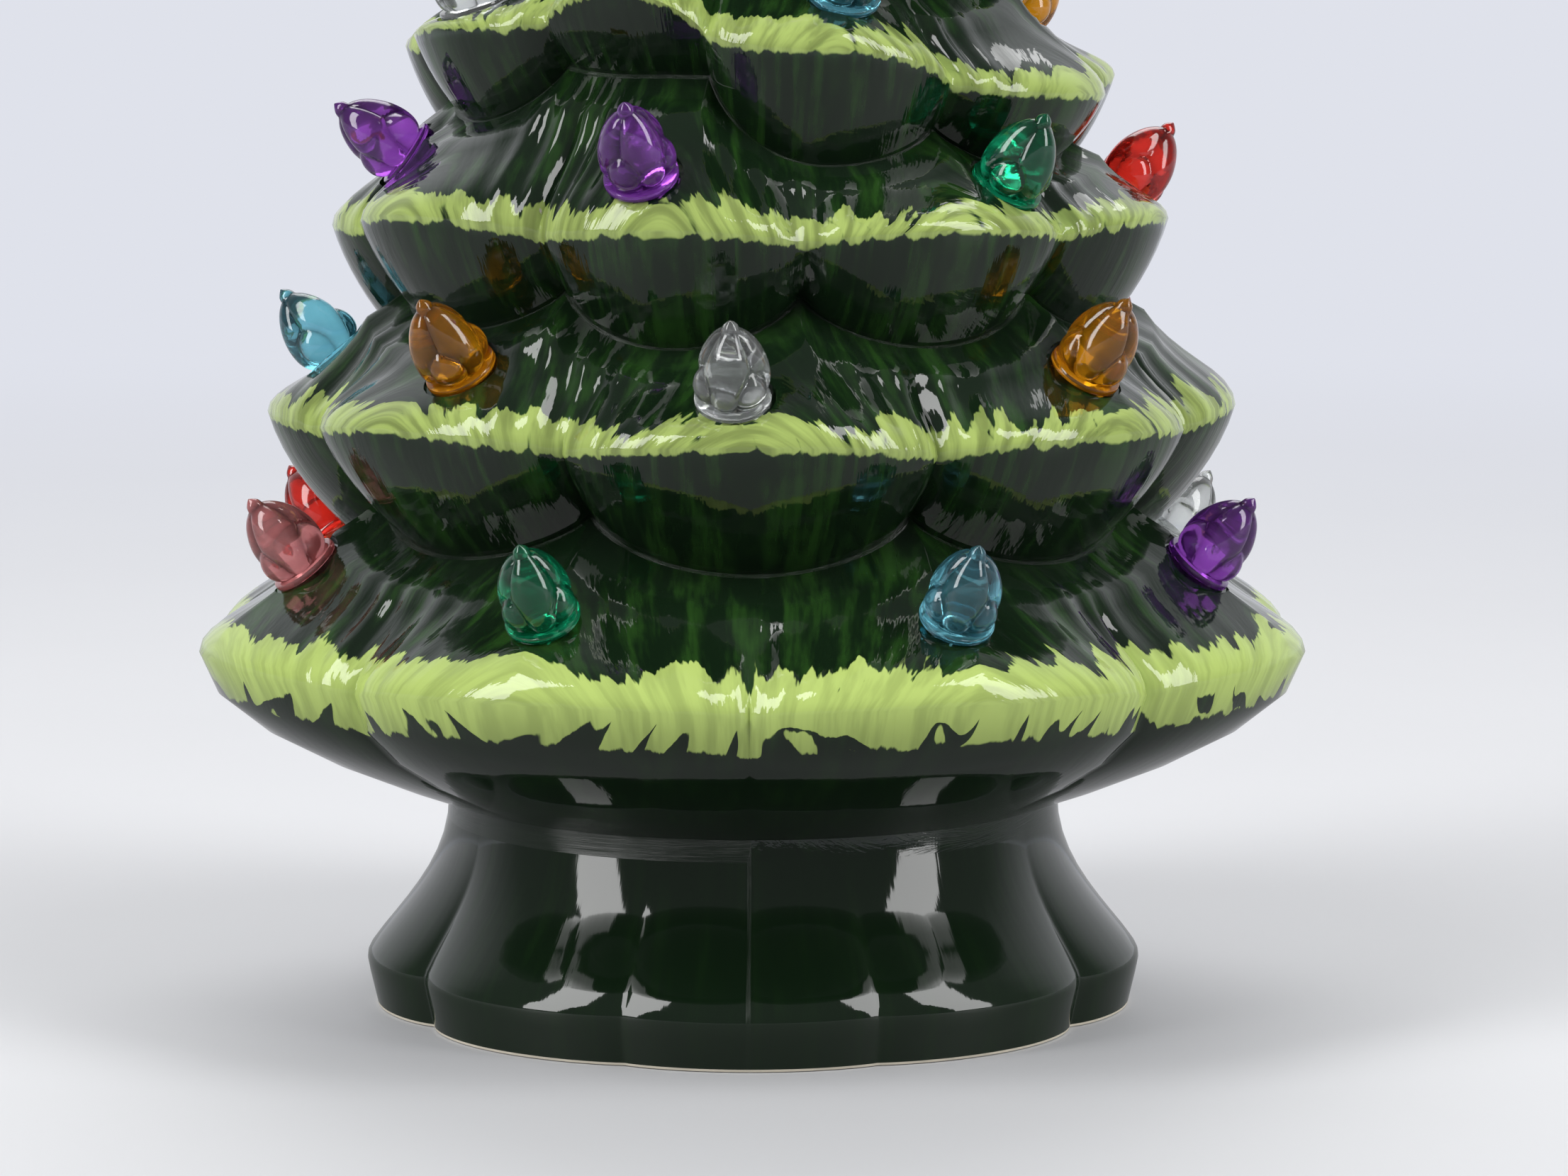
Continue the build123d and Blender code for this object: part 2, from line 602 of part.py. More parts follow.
def cell(side):
    """A battery cell lying along X: one points its nub each way."""
    body = Rot(Y=90) * Cylinder(CELL_RADIUS, CELL_LENGTH)
    nub_length = CELL_NUB_LENGTH + CELL_RADIUS
    reach = side * (CELL_LENGTH / 2 + CELL_NUB_LENGTH - nub_length / 2)
    nub = Pos(X=reach) * Rot(Y=90) * Cylinder(CELL_NUB_RADIUS, nub_length)
    return Pos(-side * CELL_NUB_LENGTH / 2, -side * CELL_PLACE, CELL_HEIGHT) * body.fuse(nub)


def leaf_contact(places, end, tabs):
    """A sheet-metal contact on an end wall of the well, with a bent leaf at each cell."""
    low = CELL_HEIGHT - CONTACT_WIDTH / 2
    width = CONTACT_WIDTH + max(places) - min(places)
    middle = (max(places) + min(places)) / 2
    sheet = block(CONTACT_SHEET, width, CONTACT_WIDTH, (0, middle), low)
    bend = CONTACT_DEPTH - CONTACT_PLAY - CONTACT_SHEET / 2
    inside = bend - CONTACT_SHEET
    leaf_low = low + CONTACT_SHEET
    leaf_high = low + CONTACT_WIDTH - CONTACT_SHEET
    outer = [(0, leaf_low), (bend, CELL_HEIGHT), (0, leaf_high)]
    inner = [(0, leaf_high - CONTACT_SHEET), (inside, CELL_HEIGHT), (0, leaf_low + CONTACT_SHEET)]
    leaf = extrude(Plane.XZ * make_face(Polyline(*outer, *inner, close=True)), CONTACT_WIDTH / 4, both=True)
    pieces = [Pos(Y=place) * leaf for place in places]
    if tabs:
        rise = WELL_TOP + CONTACT_TAB_RISE - CELL_HEIGHT
        pieces += [block(CONTACT_SHEET, CONTACT_TAB_WIDTH, rise, (0, place), CELL_HEIGHT) for place in places]
    contact = Pos(X=CONTACT_SHEET / 2 - WELL_LENGTH / 2) * sheet.fuse(*pieces)
    return contact if end < 0 else Rot(Z=180) * contact


def switch_body():
    """The slide switch's case, standing on the plug over the knob's slot."""
    case = block(SWITCH_LENGTH, SWITCH_WIDTH, SWITCH_HEIGHT, SWITCH_PLACE, PLUG_TOP)
    slot = block(STEM_RUN, KNOB_STEM + 2 * KNOB_PLAY, SWITCH_HEIGHT / 2, SWITCH_PLACE, PLUG_TOP)
    return case - slot


def switch_knob():
    """The sliding knob under the plug, drawn at its off end."""
    place = (SWITCH_COLUMN - SWITCH_TRAVEL / 2, SWITCH_ROW)
    thumb = block(KNOB_LENGTH, KNOB_WIDTH, KNOB_HEIGHT, place, PLUG_RECESS)
    stem_top = PLUG_TOP + SWITCH_HEIGHT / 2 - KNOB_PLAY
    stem = block(KNOB_STEM, KNOB_STEM, stem_top - PLUG_RECESS, place, PLUG_RECESS)
    ridge_step = KNOB_LENGTH / 3
    ridges = []
    for step in (-1, 0, 1):
        ridge = (place[0] + step * ridge_step, place[1])
        ridges.append(block(KNOB_RIDGE, KNOB_WIDTH, 2 * KNOB_RIDGE, ridge, PLUG_RECESS - KNOB_RIDGE))
    return thumb.fuse(stem, *ridges)


def lamp_board():
    """The round-cornered board that carries the lamp."""
    board = block(BOARD_LENGTH, BOARD_WIDTH, BOARD_THICKNESS, (0, 0), BOARD_BOTTOM)
    board = fillet(board.edges().filter_by(Axis.Z), POST_RADIUS)
    for place in BOARD_POSTS:
        board -= post(SCREW_RADIUS + SCREW_PLAY, BOARD_THICKNESS, place, BOARD_BOTTOM)
    return board


def board_screws():
    """Two slotted pan-head screws through the board into its posts."""
    screws = []
    for place in BOARD_POSTS:
        shank = post(SCREW_RADIUS, SCREW_LENGTH, place, BOARD_TOP - SCREW_LENGTH)
        head = post(SCREW_HEAD_RADIUS, SCREW_HEAD_HEIGHT, place, BOARD_TOP)
        slot_floor = BOARD_TOP + SCREW_HEAD_HEIGHT - SCREW_SLOT
        slot = block(2 * SCREW_HEAD_RADIUS, SCREW_SLOT, SCREW_SLOT, place, slot_floor)
        screws.append(head.fuse(shank) - slot)
    return Compound(children=screws)


def lamp():
    """The domed lamp on the board."""
    shoulder = LAMP_LENGTH - LAMP_RADIUS
    slant = LAMP_RADIUS * math.sin(math.pi / 4)
    arc_middle = (slant, shoulder + slant)
    rim = LAMP_RADIUS + LAMP_RIM
    corner = (LAMP_RADIUS, shoulder)
    sides = Polyline((0, 0), (rim, 0), (rim, LAMP_RIM_HEIGHT), (LAMP_RADIUS, LAMP_RIM_HEIGHT), corner)
    dome = ThreePointArc(corner, arc_middle, (0, LAMP_LENGTH))
    profile = make_face(sides + dome + Line((0, LAMP_LENGTH), (0, 0)))
    return Pos(Z=BOARD_TOP) * revolve(Plane.XZ * profile, Axis.Z)


def lead(*route):
    """A short insulated lead: straight runs joined by round bends."""
    path = Polyline(*route) if len(route) == 2 else FilletPolyline(*route, radius=LEAD_BEND)
    start = Plane(origin=path @ 0, z_dir=path % 0)
    return sweep(start * Circle(LEAD_RADIUS), path)


def leads():
    """Cells to board, cells to switch, and switch to board."""
    tab = TAB_PLACE + CONTACT_SHEET / 2
    height = BOARD_BOTTOM + BOARD_THICKNESS / 2
    switch_top = PLUG_TOP + SWITCH_HEIGHT
    first = SWITCH_COLUMN - SWITCH_LENGTH / 4
    second = SWITCH_COLUMN + SWITCH_LENGTH / 4
    row = SWITCH_ROW
    corners = [(tab, -CELL_PLACE, height), (first, -CELL_PLACE, height), (first, row, height)]
    board_edge = (second, -BOARD_WIDTH / 2, height)
    return {
        "lead_positive": lead((tab, CELL_PLACE, height), (-BOARD_LENGTH / 2, CELL_PLACE, height)),
        "lead_negative": lead(*corners, (first, row, switch_top)),
        "lead_switch": lead((second, row, switch_top), (second, row, height), board_edge),
    }


def build():
    """Every piece of the tree by name."""
    pieces = {
        "tree_body": ceramic_body(),
        "star_topper": star_topper(),
        "battery_housing": battery_housing(),
        "battery_door": battery_door(),
        "cell_1": cell(-1),
        "cell_2": cell(1),
        "positive_contact": leaf_contact([CELL_PLACE], -1, True),
        "negative_contact": leaf_contact([-CELL_PLACE], -1, True),
        "bridge_contact": leaf_contact([-CELL_PLACE, CELL_PLACE], 1, False),
        "switch_body": switch_body(),
        "switch_knob": switch_knob(),
        "lamp_board": lamp_board(),
        "board_screws": board_screws(),
        "lamp": lamp(),
    }
    pieces.update(leads())
    one_bulb = bulb()
    for index, (tier, angle, share, colour) in enumerate(BULBS):
        pieces[bulb_name(index)] = bulb_plane(tier, angle, share) * Rot(Z=BULB_TURN * index) * one_bulb
    return pieces


if __name__ == "__main__":
    os.makedirs("parts", exist_ok=True)
    for name, piece in build().items():
        export_step(piece, f"parts/{name}.step")
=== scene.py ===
"""Dressing for a table-top ceramic Christmas tree: glazed casting, bud bulbs, star, light unit and stage."""

import math
from functools import partial

import bmesh
import bpy
import numpy as np
from mathutils import Matrix, Vector
from mathutils.kdtree import KDTree


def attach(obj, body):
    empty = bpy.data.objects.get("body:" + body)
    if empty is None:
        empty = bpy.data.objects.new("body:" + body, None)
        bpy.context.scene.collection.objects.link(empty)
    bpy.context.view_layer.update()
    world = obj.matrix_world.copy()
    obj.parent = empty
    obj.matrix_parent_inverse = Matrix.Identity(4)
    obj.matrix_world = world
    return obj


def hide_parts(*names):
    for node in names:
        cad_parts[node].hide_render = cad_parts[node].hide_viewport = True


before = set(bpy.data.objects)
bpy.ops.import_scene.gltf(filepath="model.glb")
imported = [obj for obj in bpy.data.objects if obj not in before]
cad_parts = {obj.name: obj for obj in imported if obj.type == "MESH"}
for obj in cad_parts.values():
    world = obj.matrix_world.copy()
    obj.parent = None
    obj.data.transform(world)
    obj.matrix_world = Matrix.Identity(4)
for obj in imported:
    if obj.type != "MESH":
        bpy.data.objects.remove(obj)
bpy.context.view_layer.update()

bl_info = {
    "name": "Ceramic Christmas Tree",
    "version": (1, 0, 0),
    "blender": (4, 5, 0),
    "location": "View3D > Sidebar > Tree",
    "description": "Glazes the casting, moulds bulbs and star, finishes the light unit and sets the stage",
    "category": "Object",
}

MM = 0.001

# The casting's sizes in millimetres, as in the part's source
BODY_HEIGHT = 163.0
SKIRT_RADIUS = 61.5
SKIRT_HEIGHT = 40.0
NECK_HEIGHT = 22.6
NECK_RADIUS = 33.565
FOOT_RADIUS = 42.965
FOOT_BAND_HEIGHT = 5.6
FOOT_TUCK = 1.3
TIP_RADIUS = 4.6
TIP_DROP = 3.0
BOUGH_ARCH = 1.4
RECESS_RADIUS = 35.165
RECESS_DEPTH = 3.8
BASE_BORE = 30.165
STAR_BORE = 2.45

# Tiers from the skirt up
RIM_RADIUS_SHARES = (1.0, 0.862, 0.750, 0.640, 0.520, 0.410, 0.305, 0.205)
RIM_RISE_SHARES = (0.0, 0.202, 0.372, 0.512, 0.632, 0.738, 0.831, 0.916)
OVERHANG_SHARES = (0.0, 0.125, 0.100, 0.085, 0.085, 0.090, 0.100, 0.120)
TIERS = len(RIM_RADIUS_SHARES)
NOTCH_ANGLES = (
    (0, 45, 90, 135, 180, 225, 270, 315),
    (22.5, 67.5, 112.5, 157.5, 202.5, 247.5, 292.5, 337.5),
    (7.5, 48.75, 90, 135, 183.75, 232.5, 285, 330),
    (33.75, 78.75, 127.5, 176.25, 225, 277.5, 322.5, 352.5),
    (15, 67.5, 120, 172.5, 221.25, 270, 318.75),
    (45, 105, 165, 225, 285, 345),
    (15, 90, 157.5, 232.5, 300),
    (60, 150, 240, 330),
)
LIFT_SHARES = (
    (0,) * 8,
    (0, 0.03, 0, -0.04, 0.03, 0, 0.02, 0),
    (0, 0.02, -0.05, 0.06, 0, -0.04, 0.05, 0),
    (-0.22, -0.08, 0.06, -0.06, 0.08, 0.18, 0.38, 0.05),
    (0.05, -0.06, 0.08, -0.05, 0.05, 0.10, 0.28),
    (0, 0.08, -0.06, 0.06, 0.05, 0.08),
    (0.05, -0.05, 0.06, 0, 0.05),
    (0, 0.06, 0, -0.06),
)
HANG_SHARES = (
    (0.56,) * 8,
    (0.54,) * 8,
    (0.57,) * 8,
    (0.44, 0.58, 0.60, 0.56, 0.60, 0.56, 0.48, 0.68),
    (0.62,) * 7,
    (0.60,) * 6,
    (0.60,) * 5,
    (0.60,) * 4,
)
FLUTE_ANGLES = (18.75, 60, 97.5, 138.75, 180, 221.25, 262.5, 300, 341.25)
FLUTE_SHARES = (0.45, 1.0, 0.8, 0.6, 1.0, 0.7, 0.9, 1.0, 0.45)
VALLEY_SHARE = 0.075
HANG_VALLEY_SHARE = 0.32
TRUNK_SLOPE = 0.38
CROWN_POWER = 0.75
UNDER_PULL = (0.36, 0.20, 0.42)
TOP_PULL = (0.32, 0.10, 0.45)
FLARE_PULL = (0.42, 0.30, 0.45)
TIP_FOOT_SHARE = 0.11
TIP_PULL_SHARE = 0.35
SLOPE_SHARE = 0.02

# Other than in the solids: deeper flutes, undersides cut in over a narrower hollow, a rounded foot edge
FLUTE_DEPTH = 2.6
UNDERCUT_SHARE = 0.085
UNDERCUT_START = 0.84
HOLLOW_SHARE = 0.92
FOOT_EDGE_SHARES = (0.36, 0.14)

# The hollow's profile, radius and height
CAVITY = (
    (30.16, 22.6), (47.31, 44.97), (43.01, 56.9), (41.43, 69.03), (38.05, 79.06), (35.31, 89.2),
    (31.85, 97.47), (28.28, 105.93), (25.51, 113.01), (21.62, 120.34), (19.42, 126.6), (15.34, 133.06),
    (13.35, 138.55), (9.34, 144.3), (7.78, 149.32),
)

# The casting's mesh: sides, sharp edges in degrees, and rows, more of them on the tiers in the photo
CASTING_SIDES = 560
CASTING_SHARP = 48
LEAST_ROWS = 100
SEEN_TIERS = 4
FOOT_ROWS = (0.0, 0.03, 0.06, 0.4)
BARE_FOOT_SHARE = 0.05
EDGE_ROWS = (0.0, 0.3, 0.5, 0.7)
FLARE_ROWS = 9
UNDER_ROWS = (9, 6)
TOP_ROWS = (9, 5)
CROTCH_ROWS = (0.915, 0.985, 1.0)
TIP_ROWS = (0.0, 0.35, 0.7, 1.0)
SLIVER = 0.00003

# Needle ridges: where they rise and fade along a top, how they fan, bend and cut in
NEEDLE_RISE_SHARE = 0.34
NEEDLE_FADE_SHARE = 0.12
NEEDLE_LEAST_SHARE = 0.06
NEEDLE_SKIRT_SHARE = 0.6
NEEDLE_ROUNDING = 0.03
NEEDLE_FAN = 0.8
NEEDLE_WAVES = ((1.1, 5, 1), (0.7, 11, 2))
NEEDLE_CUT = (0.8, 0.6)
TIER_STEP = 29.0
BASE_STEP = 0.7

# What the glaze follows: point attributes of the casting
GLAZE_VALUES = (
    "above_rim", "below_rim", "rim_around", "needle_turn", "skirt", "mottle", "needle", "bare_clay",
)

# How much thin glaze shows through on each surface, and a distance that no band reaches
BASE_MOTTLE = 0.12
SKIRT_MOTTLE = 0.25
UNDER_MOTTLE = 0.85
TIP_MOTTLE = 0.6
TOP_MOTTLE = 1.0
FAR_BELOW = 60.0

# Brush noise: cells per millimetre across and along the brush, seed, detail, roughness and slant
STROKES = (0.70, 0.09, 0.0, 3.0, 0.55, 0.0)
SWEEP = (0.13, 0.0, 3.0, 1.0, 0.55, 0.0)
BRUSH = (0.75, 0.06, 5.0, 3.0, 0.55, 0.0)
BLADES = (0.14, 0.02, 7.0, 1.0, 0.5, 0.09)
BLADE_SHARPNESS = 17.0
BRUSH_DRIFT = (95.0, 120.0, 0.0)

# The light band's edges in millimetres, and the dark blades that cut into it from below
UPPER_RAGGED = 11.0
UPPER_DRIFT = 7.0
UPPER_SOFT = 0.9
LOWER_RAGGED = (1.0, 2.0)
LOWER_BLADES = (2.6, 0.4)
LOWER_SOFT = 0.6
RIM_DROP = 0.8

# Where the glaze thins, streaks and wears, and how deep its relief is in millimetres
GLAZE_CLOUD = (110.0, 4.0, 0.6)
THIN_BRUSH = 1.3
THIN_CLOUD = 0.7
THIN_RANGE = (0.92, 1.35)
STREAK_RANGE = (0.34, 0.62)
SKIRT_PAINT_SHARES = (0.82, 1.08)
RIM_PAINT_SHARES = (0.48, 0.90)
WORN_RANGE = (0.05, 0.55)
PAINTED_RANGE = (0.35, 0.85)
HOLLOW_RANGE = (0.0, 0.6, 0.5, 0.06)
CLAY_PATCHES = (0.35, 0.75, 0.82)
CLAY_ROUGHNESS = 0.75
BARE_RANGE = (0.4, 0.6)
BARE_GLOSS_RANGE = (0.3, 0.7)
GLAZE_IOR = 1.5
RIPPLE_SCALE = 70.0
RIPPLE_HEIGHT = 0.12
STROKE_HEIGHT = 0.10
RIDGE_BUMP_SHARE = 0.1

# Bulbs of each tier: colour, angle, share of the way in from the rim
BULB_PLACES = (
    (
        ("aqua", 22.5, 0.54), ("purple", 67.5, 0.66), ("clear", 115.0, 0.62), ("amber", 157.5, 0.60),
        ("aqua", 202.5, 0.60), ("red", 247.5, 0.62), ("pink", 292.5, 0.66), ("emerald", 337.5, 0.54),
    ),
    (
        ("clear", 358.0, 0.54), ("amber", 47.0, 0.57), ("red", 125.0, 0.60), ("purple", 178.0, 0.58),
        ("emerald", 225.0, 0.60), ("aqua", 268.0, 0.74), ("amber", 320.0, 0.66),
    ),
    (
        ("purple", 345.0, 0.42), ("emerald", 41.0, 0.67), ("red", 96.0, 0.61), ("aqua", 160.0, 0.58),
        ("amber", 225.0, 0.58), ("purple", 283.0, 0.70),
    ),
    (
        ("aqua", 17.0, 0.64), ("amber", 120.0, 0.58), ("purple", 180.0, 0.58), ("red", 235.0, 0.58),
        ("clear", 300.0, 0.60),
    ),
    (("red", 300.0, 0.56), ("emerald", 55.0, 0.56), ("amber", 145.0, 0.56), ("clear", 225.0, 0.56)),
    (("purple", 15.0, 0.54), ("aqua", 135.0, 0.54), ("emerald", 255.0, 0.54)),
)
BULBS = [
    (f"bulb_{tier + 1}{letter}_{tint}", tier, angle, share)
    for tier, places in enumerate(BULB_PLACES)
    for letter, (tint, angle, share) in zip("abcdefgh", places)
]
BULB_TURN = 77
BULB_SIDES = 96
BULB_SHARP = 35
PEG_RADIUS = 2.4
PEG_LENGTH = 7.0
PEG_BEVEL = 0.3
PEG_FILLET = (0.2, 0.05)
PEG_POLE = 0.01
HOLE_RADIUS = 2.65
FLANGE_RADIUS = 3.85
FLANGE_THICKNESS = 0.8
FLANGE_PLAY = 0.45
FLANGE_ROUND = ((0.25, 0.0), (0.06, 0.08), (0.0, 0.25))
SEAT_SINK = 0.35
SEAT_GAP = 0.12
DRILL_DEPTH = 12.0
DRILL_RISE = 5.0
DRILL_POLE = 0.02
DRILL_SIDES = 40

# A bud: a core and two rings of petals, each a drop shape
BUD_RADIUS = 4.2
BUD_LENGTH = 9.4
BUD_POLE = 0.015
BUD_FOOT_INSET = 0.3
BUD_ROWS = 34
BUD_SHOULDER_SHARE = 0.9
BUD_TIP_SHARES = (0.93, 0.955, 0.975, 0.99, 0.998)
CORE_SHARES = (0.48, 1.0)
UPPER_PETAL_SHARES = (0.62, 0.92, 0.46)
LOWER_PETAL_SHARES = (0.60, 0.56, 0.40)
UPPER_PETAL_LEAN = -11
LOWER_PETAL_LEAN = -5
PETALS = 3
DROP_POINTS = 200
DROP_LOW_SHARE = 1.35
DROP_HIGH_SHARE = 1.26
DROP_SHOULDER_SHARE = 0.86
CREASE_DEPTH = 0.24
CREASE_LEAST = 0.02
CREASE_SPREAD = 7
CREASE_BLEND = 0.5
CREASE_CORE = 0.4

# Plastics and metal: how clear they are, noise in cells per metre with its detail, patches as a range of
# the noise with the dimmest share, gloss as a range with its roughness, bumps as strength and depth
CLEARNESS = {
    "aqua": 0.92, "purple": 0.84, "clear": 0.92, "amber": 0.84, "red": 0.84, "pink": 0.70, "emerald": 0.88,
}
STAR_CLEARNESS = 0.62
LENS_CLEARNESS = 0.7
PLASTIC_IOR = 1.49
# Painted shade in the bulbs' petal creases: the tint's darkest share there, and how strongly the creases show
# it
CREASE_SHADE_DIM = 0.22
CREASE_SHADE_STRENGTH = 0.9
COAT_WEIGHT = 0.3
COAT_ROUGHNESS = 0.03
FLOW_NOISE = (380.0, 3.0)
FLOW_PATCHES = (0.35, 0.75, 0.85)
FLOW_GLOSS = (0.3, 0.8, 0.05, 0.14)
HAZE_SCALE = 900.0
HAZE_BUMP = (0.12, 0.0002)
CLOUD_NOISE = (220.0, 3.0)
CLOUD_PATCHES = (0.3, 0.75, 0.86)
CLOUD_GLOSS_RANGE = (0.3, 0.7)
CLOUD_GLOSS_RISE = 0.14
GRAIN_SCALE = 2600.0
GRAIN_BUMP = (0.25, 0.0001)
DRAWN_SCALE = 4000.0
DRAWN_PATCHES = (0.3, 0.8, 0.8)
DRAWN_GLOSS = (0.3, 0.7, 0.26, 0.42)

# The light unit's plastics: setting, material, roughness and nodes
FITTINGS = (
    ("housing", "housing_plastic", 0.48, ("battery_housing", "battery_door")),
    ("black", "black_plastic", 0.42, ("switch_body", "switch_knob", "lead_negative", "lead_switch")),
    ("sleeve", "cell_sleeve", 0.30, ("cell_1", "cell_2")),
    ("red", "red_insulation", 0.4, ("lead_positive",)),
    ("board", "board_laminate", 0.35, ("lamp_board",)),
)
METAL_NODES = ("board_screws", "positive_contact", "negative_contact", "bridge_contact")

# The star's welding, facets and edges
STAR_WELD = 0.00001
STAR_FLAT = 1.0
STAR_EDGE = 25
STAR_SHARP = 30

# Stage in metres: table, room and softboxes with their place and size
TABLE_RADIUS = 9.0
TABLE_GAP = 0.0001
TABLE_SIDES = 96
TABLE_NOISE = (6.0, 4.0)
TABLE_PATCHES = (0.3, 0.8, 0.97)
TABLE_DIM = 0.50
TABLE_GLOSSY = 0.9
TABLE_FADE = (0.12, 1.1)
TABLE_ROUGHNESS = 0.6
ROOM_EDGE = (0.05, 0.7)
AIM_HEIGHT = 0.08
SOFTBOXES = (
    ("left", (-0.92, -0.58, 0.80), (0.42, 1.60)),
    ("right", (0.95, -0.50, 0.76), (0.42, 1.60)),
    ("top", (0.0, 1.0, 1.3), (1.2, 0.8)),
)
SENSOR_WIDTH = 36.0
NEAR_CLIP = 0.01


def colour(name, words, value):
    """A colour property."""
    return bpy.props.FloatVectorProperty(
        name=name, description=words, default=value, subtype="COLOR", size=3, min=0.0, max=1.0
    )


def bulb_tint(name, value):
    """The tint of one colour of bulbs."""
    return colour(name, f"Tint of the {name.lower()} bulbs", value)


def number(name, words, value, **kind):
    """A number property, with its kind of unit."""
    return bpy.props.FloatProperty(name=name, description=words, default=value, **kind)


def length(name, words, value):
    """A length property in metres."""
    return number(name, words, value, unit="LENGTH")


class GlazeSettings(bpy.types.PropertyGroup):
    """The casting's glaze and needle grooves."""

    dark: colour("Dark glaze", "Deep green that covers the tree", (0.0048, 0.0135, 0.0050))
    mid: colour("Thin glaze", "Green where the dark glaze is thin", (0.018, 0.058, 0.010))
    light: colour("Rim glaze", "Yellow-green brushed along the rims", (0.430, 0.555, 0.150))
    bisque: colour("Bare clay", "Unglazed clay of the foot and the inside", (0.72, 0.66, 0.54))
    rim_reach: length("Rim band", "How far a rim's light band runs up the bough", 0.0039)
    skirt_reach: length("Skirt band", "How far the skirt's light band runs up the bough", 0.0052)
    skirt_drop: length("Skirt drop", "How far the skirt's light band hangs below its rim", 0.0046)
    needle: length("Needle height", "Height of the needle ridges that run into the valleys", 0.0009)
    needle_gap: length("Needle gap", "From one needle ridge to the next", 0.0034)
    roughness: number("Glaze roughness", "Gloss of the glaze", 0.05)


class BulbSettings(bpy.types.PropertyGroup):
    """The moulded bulbs and the star."""

    aqua: bulb_tint("Aqua", (0.22, 0.66, 0.80))
    purple: bulb_tint("Purple", (0.42, 0.10, 0.68))
    clear: bulb_tint("Clear", (0.93, 0.96, 0.95))
    amber: bulb_tint("Amber", (0.86, 0.36, 0.01))
    red: bulb_tint("Red", (0.95, 0.035, 0.02))
    pink: bulb_tint("Pink", (0.96, 0.36, 0.36))
    emerald: bulb_tint("Emerald", (0.01, 0.42, 0.19))
    star: colour("Star", "Tint of the star", (0.95, 0.62, 0.10))
    crease: length("Crease", "How softly the petals run into each other", 0.00005)
    bevel: length("Star edge", "Rounding of the star's edges", 0.00025)


class FittingSettings(bpy.types.PropertyGroup):
    """The battery light unit under the base."""

    housing: colour("Housing", "Moulded plug and door", (0.70, 0.68, 0.60))
    black: colour("Black plastic", "Switch and black leads", (0.018, 0.018, 0.020))
    red: colour("Red lead", "Insulation of the positive lead", (0.36, 0.015, 0.012))
    board: colour("Board", "Lamp board", (0.025, 0.13, 0.045))
    sleeve: colour("Cell sleeve", "Sleeve of the battery cells", (0.035, 0.038, 0.045))
    metal: colour("Spring metal", "Contacts and screws", (0.60, 0.59, 0.56))
    lens: colour("Lamp lens", "Lamp on the board", (0.93, 0.90, 0.78))


class StageSettings(bpy.types.PropertyGroup):
    """Floor, lights and camera."""

    floor: colour("Floor", "Pale table top", (0.63, 0.635, 0.65))
    backdrop: colour("Backdrop", "What shows behind the table", (0.74, 0.76, 0.83))
    sky: colour("Surround", "Soft light all round", (0.94, 0.95, 1.0))
    sky_strength: number("Surround strength", "Level of the light from behind", 0.78)
    room_strength: number("Room strength", "Level of the room in front", 0.21)
    left_power: number("Left softbox", "Watts", 16.5, unit="POWER")
    right_power: number("Right softbox", "Watts", 14.5, unit="POWER")
    top_power: number("Top softbox", "Watts", 8.0, unit="POWER")
    distance: length("Camera distance", "From the tree's axis", 0.5)
    height: length("Camera height", "Above the table", 0.103)
    aside: length("Camera aside", "To the right of the axis", 0.0034)
    tilt: number("Camera tilt", "Below level", math.radians(6.62), subtype="ANGLE")
    focal: number("Focal length", "On a 36 mm wide frame", 104.97)


def bezier(start, pull_start, pull_end, end, share):
    """Points on cubic curves in the (radius, height) half plane."""
    back = 1 - share
    weights = (back**3, 3 * back * back * share, 3 * back * share * share, share**3)
    points = (start, pull_start, pull_end, end)
    return tuple(sum(weight * point[axis] for weight, point in zip(weights, points)) for axis in (0, 1))


def find_bough(notches, angles):
    """Which bough each angle falls on, and how far across it lies, from -1 to 1."""
    starts = np.array(notches, float)
    widths = np.append(starts[1:], starts[0] + 360) - starts
    places = (angles[:, None] - starts) % 360
    bough = (places < widths).argmax(axis=1)
    across = 2 * places[np.arange(len(angles)), bough] / widths[bough] - 1
    return bough, across


def crown_share(notches, angles):
    """0 in the valleys between boughs, 1 on the crowns."""
    across = find_bough(notches, angles)[1]
    return np.clip(1 - across * across, 0, 1) ** CROWN_POWER


def tier_height(tier):
    """Nominal rim height of a tier."""
    return SKIRT_HEIGHT + (BODY_HEIGHT - SKIRT_HEIGHT) * RIM_RISE_SHARES[tier]


def tier_gap(tier):
    """Height from the rim of the tier below, or from the neck for the skirt."""
    return tier_height(tier) - (tier_height(tier - 1) if tier else NECK_HEIGHT)


def bough_lift(tier, angles):
    """How much higher than its tier the rim rides."""
    lifts = np.array(LIFT_SHARES[tier], float)
    bough, across = find_bough(NOTCH_ANGLES[tier], angles)
    beside = lifts[(bough + np.where(across > 0, 1, -1)) % len(lifts)]
    crown = crown_share(NOTCH_ANGLES[tier], angles)
    return (crown * lifts[bough] + (1 - crown) * (lifts[bough] + beside) / 2) * tier_gap(tier)


def rim_point(tier, angles):
    """The widest line of a tier."""
    valley = 1 - crown_share(NOTCH_ANGLES[tier], angles)
    lift = bough_lift(tier, angles)
    radius = SKIRT_RADIUS * RIM_RADIUS_SHARES[tier] * (1 - VALLEY_SHARE * valley)
    return radius - TRUNK_SLOPE * lift, tier_height(tier) + lift - BOUGH_ARCH * valley


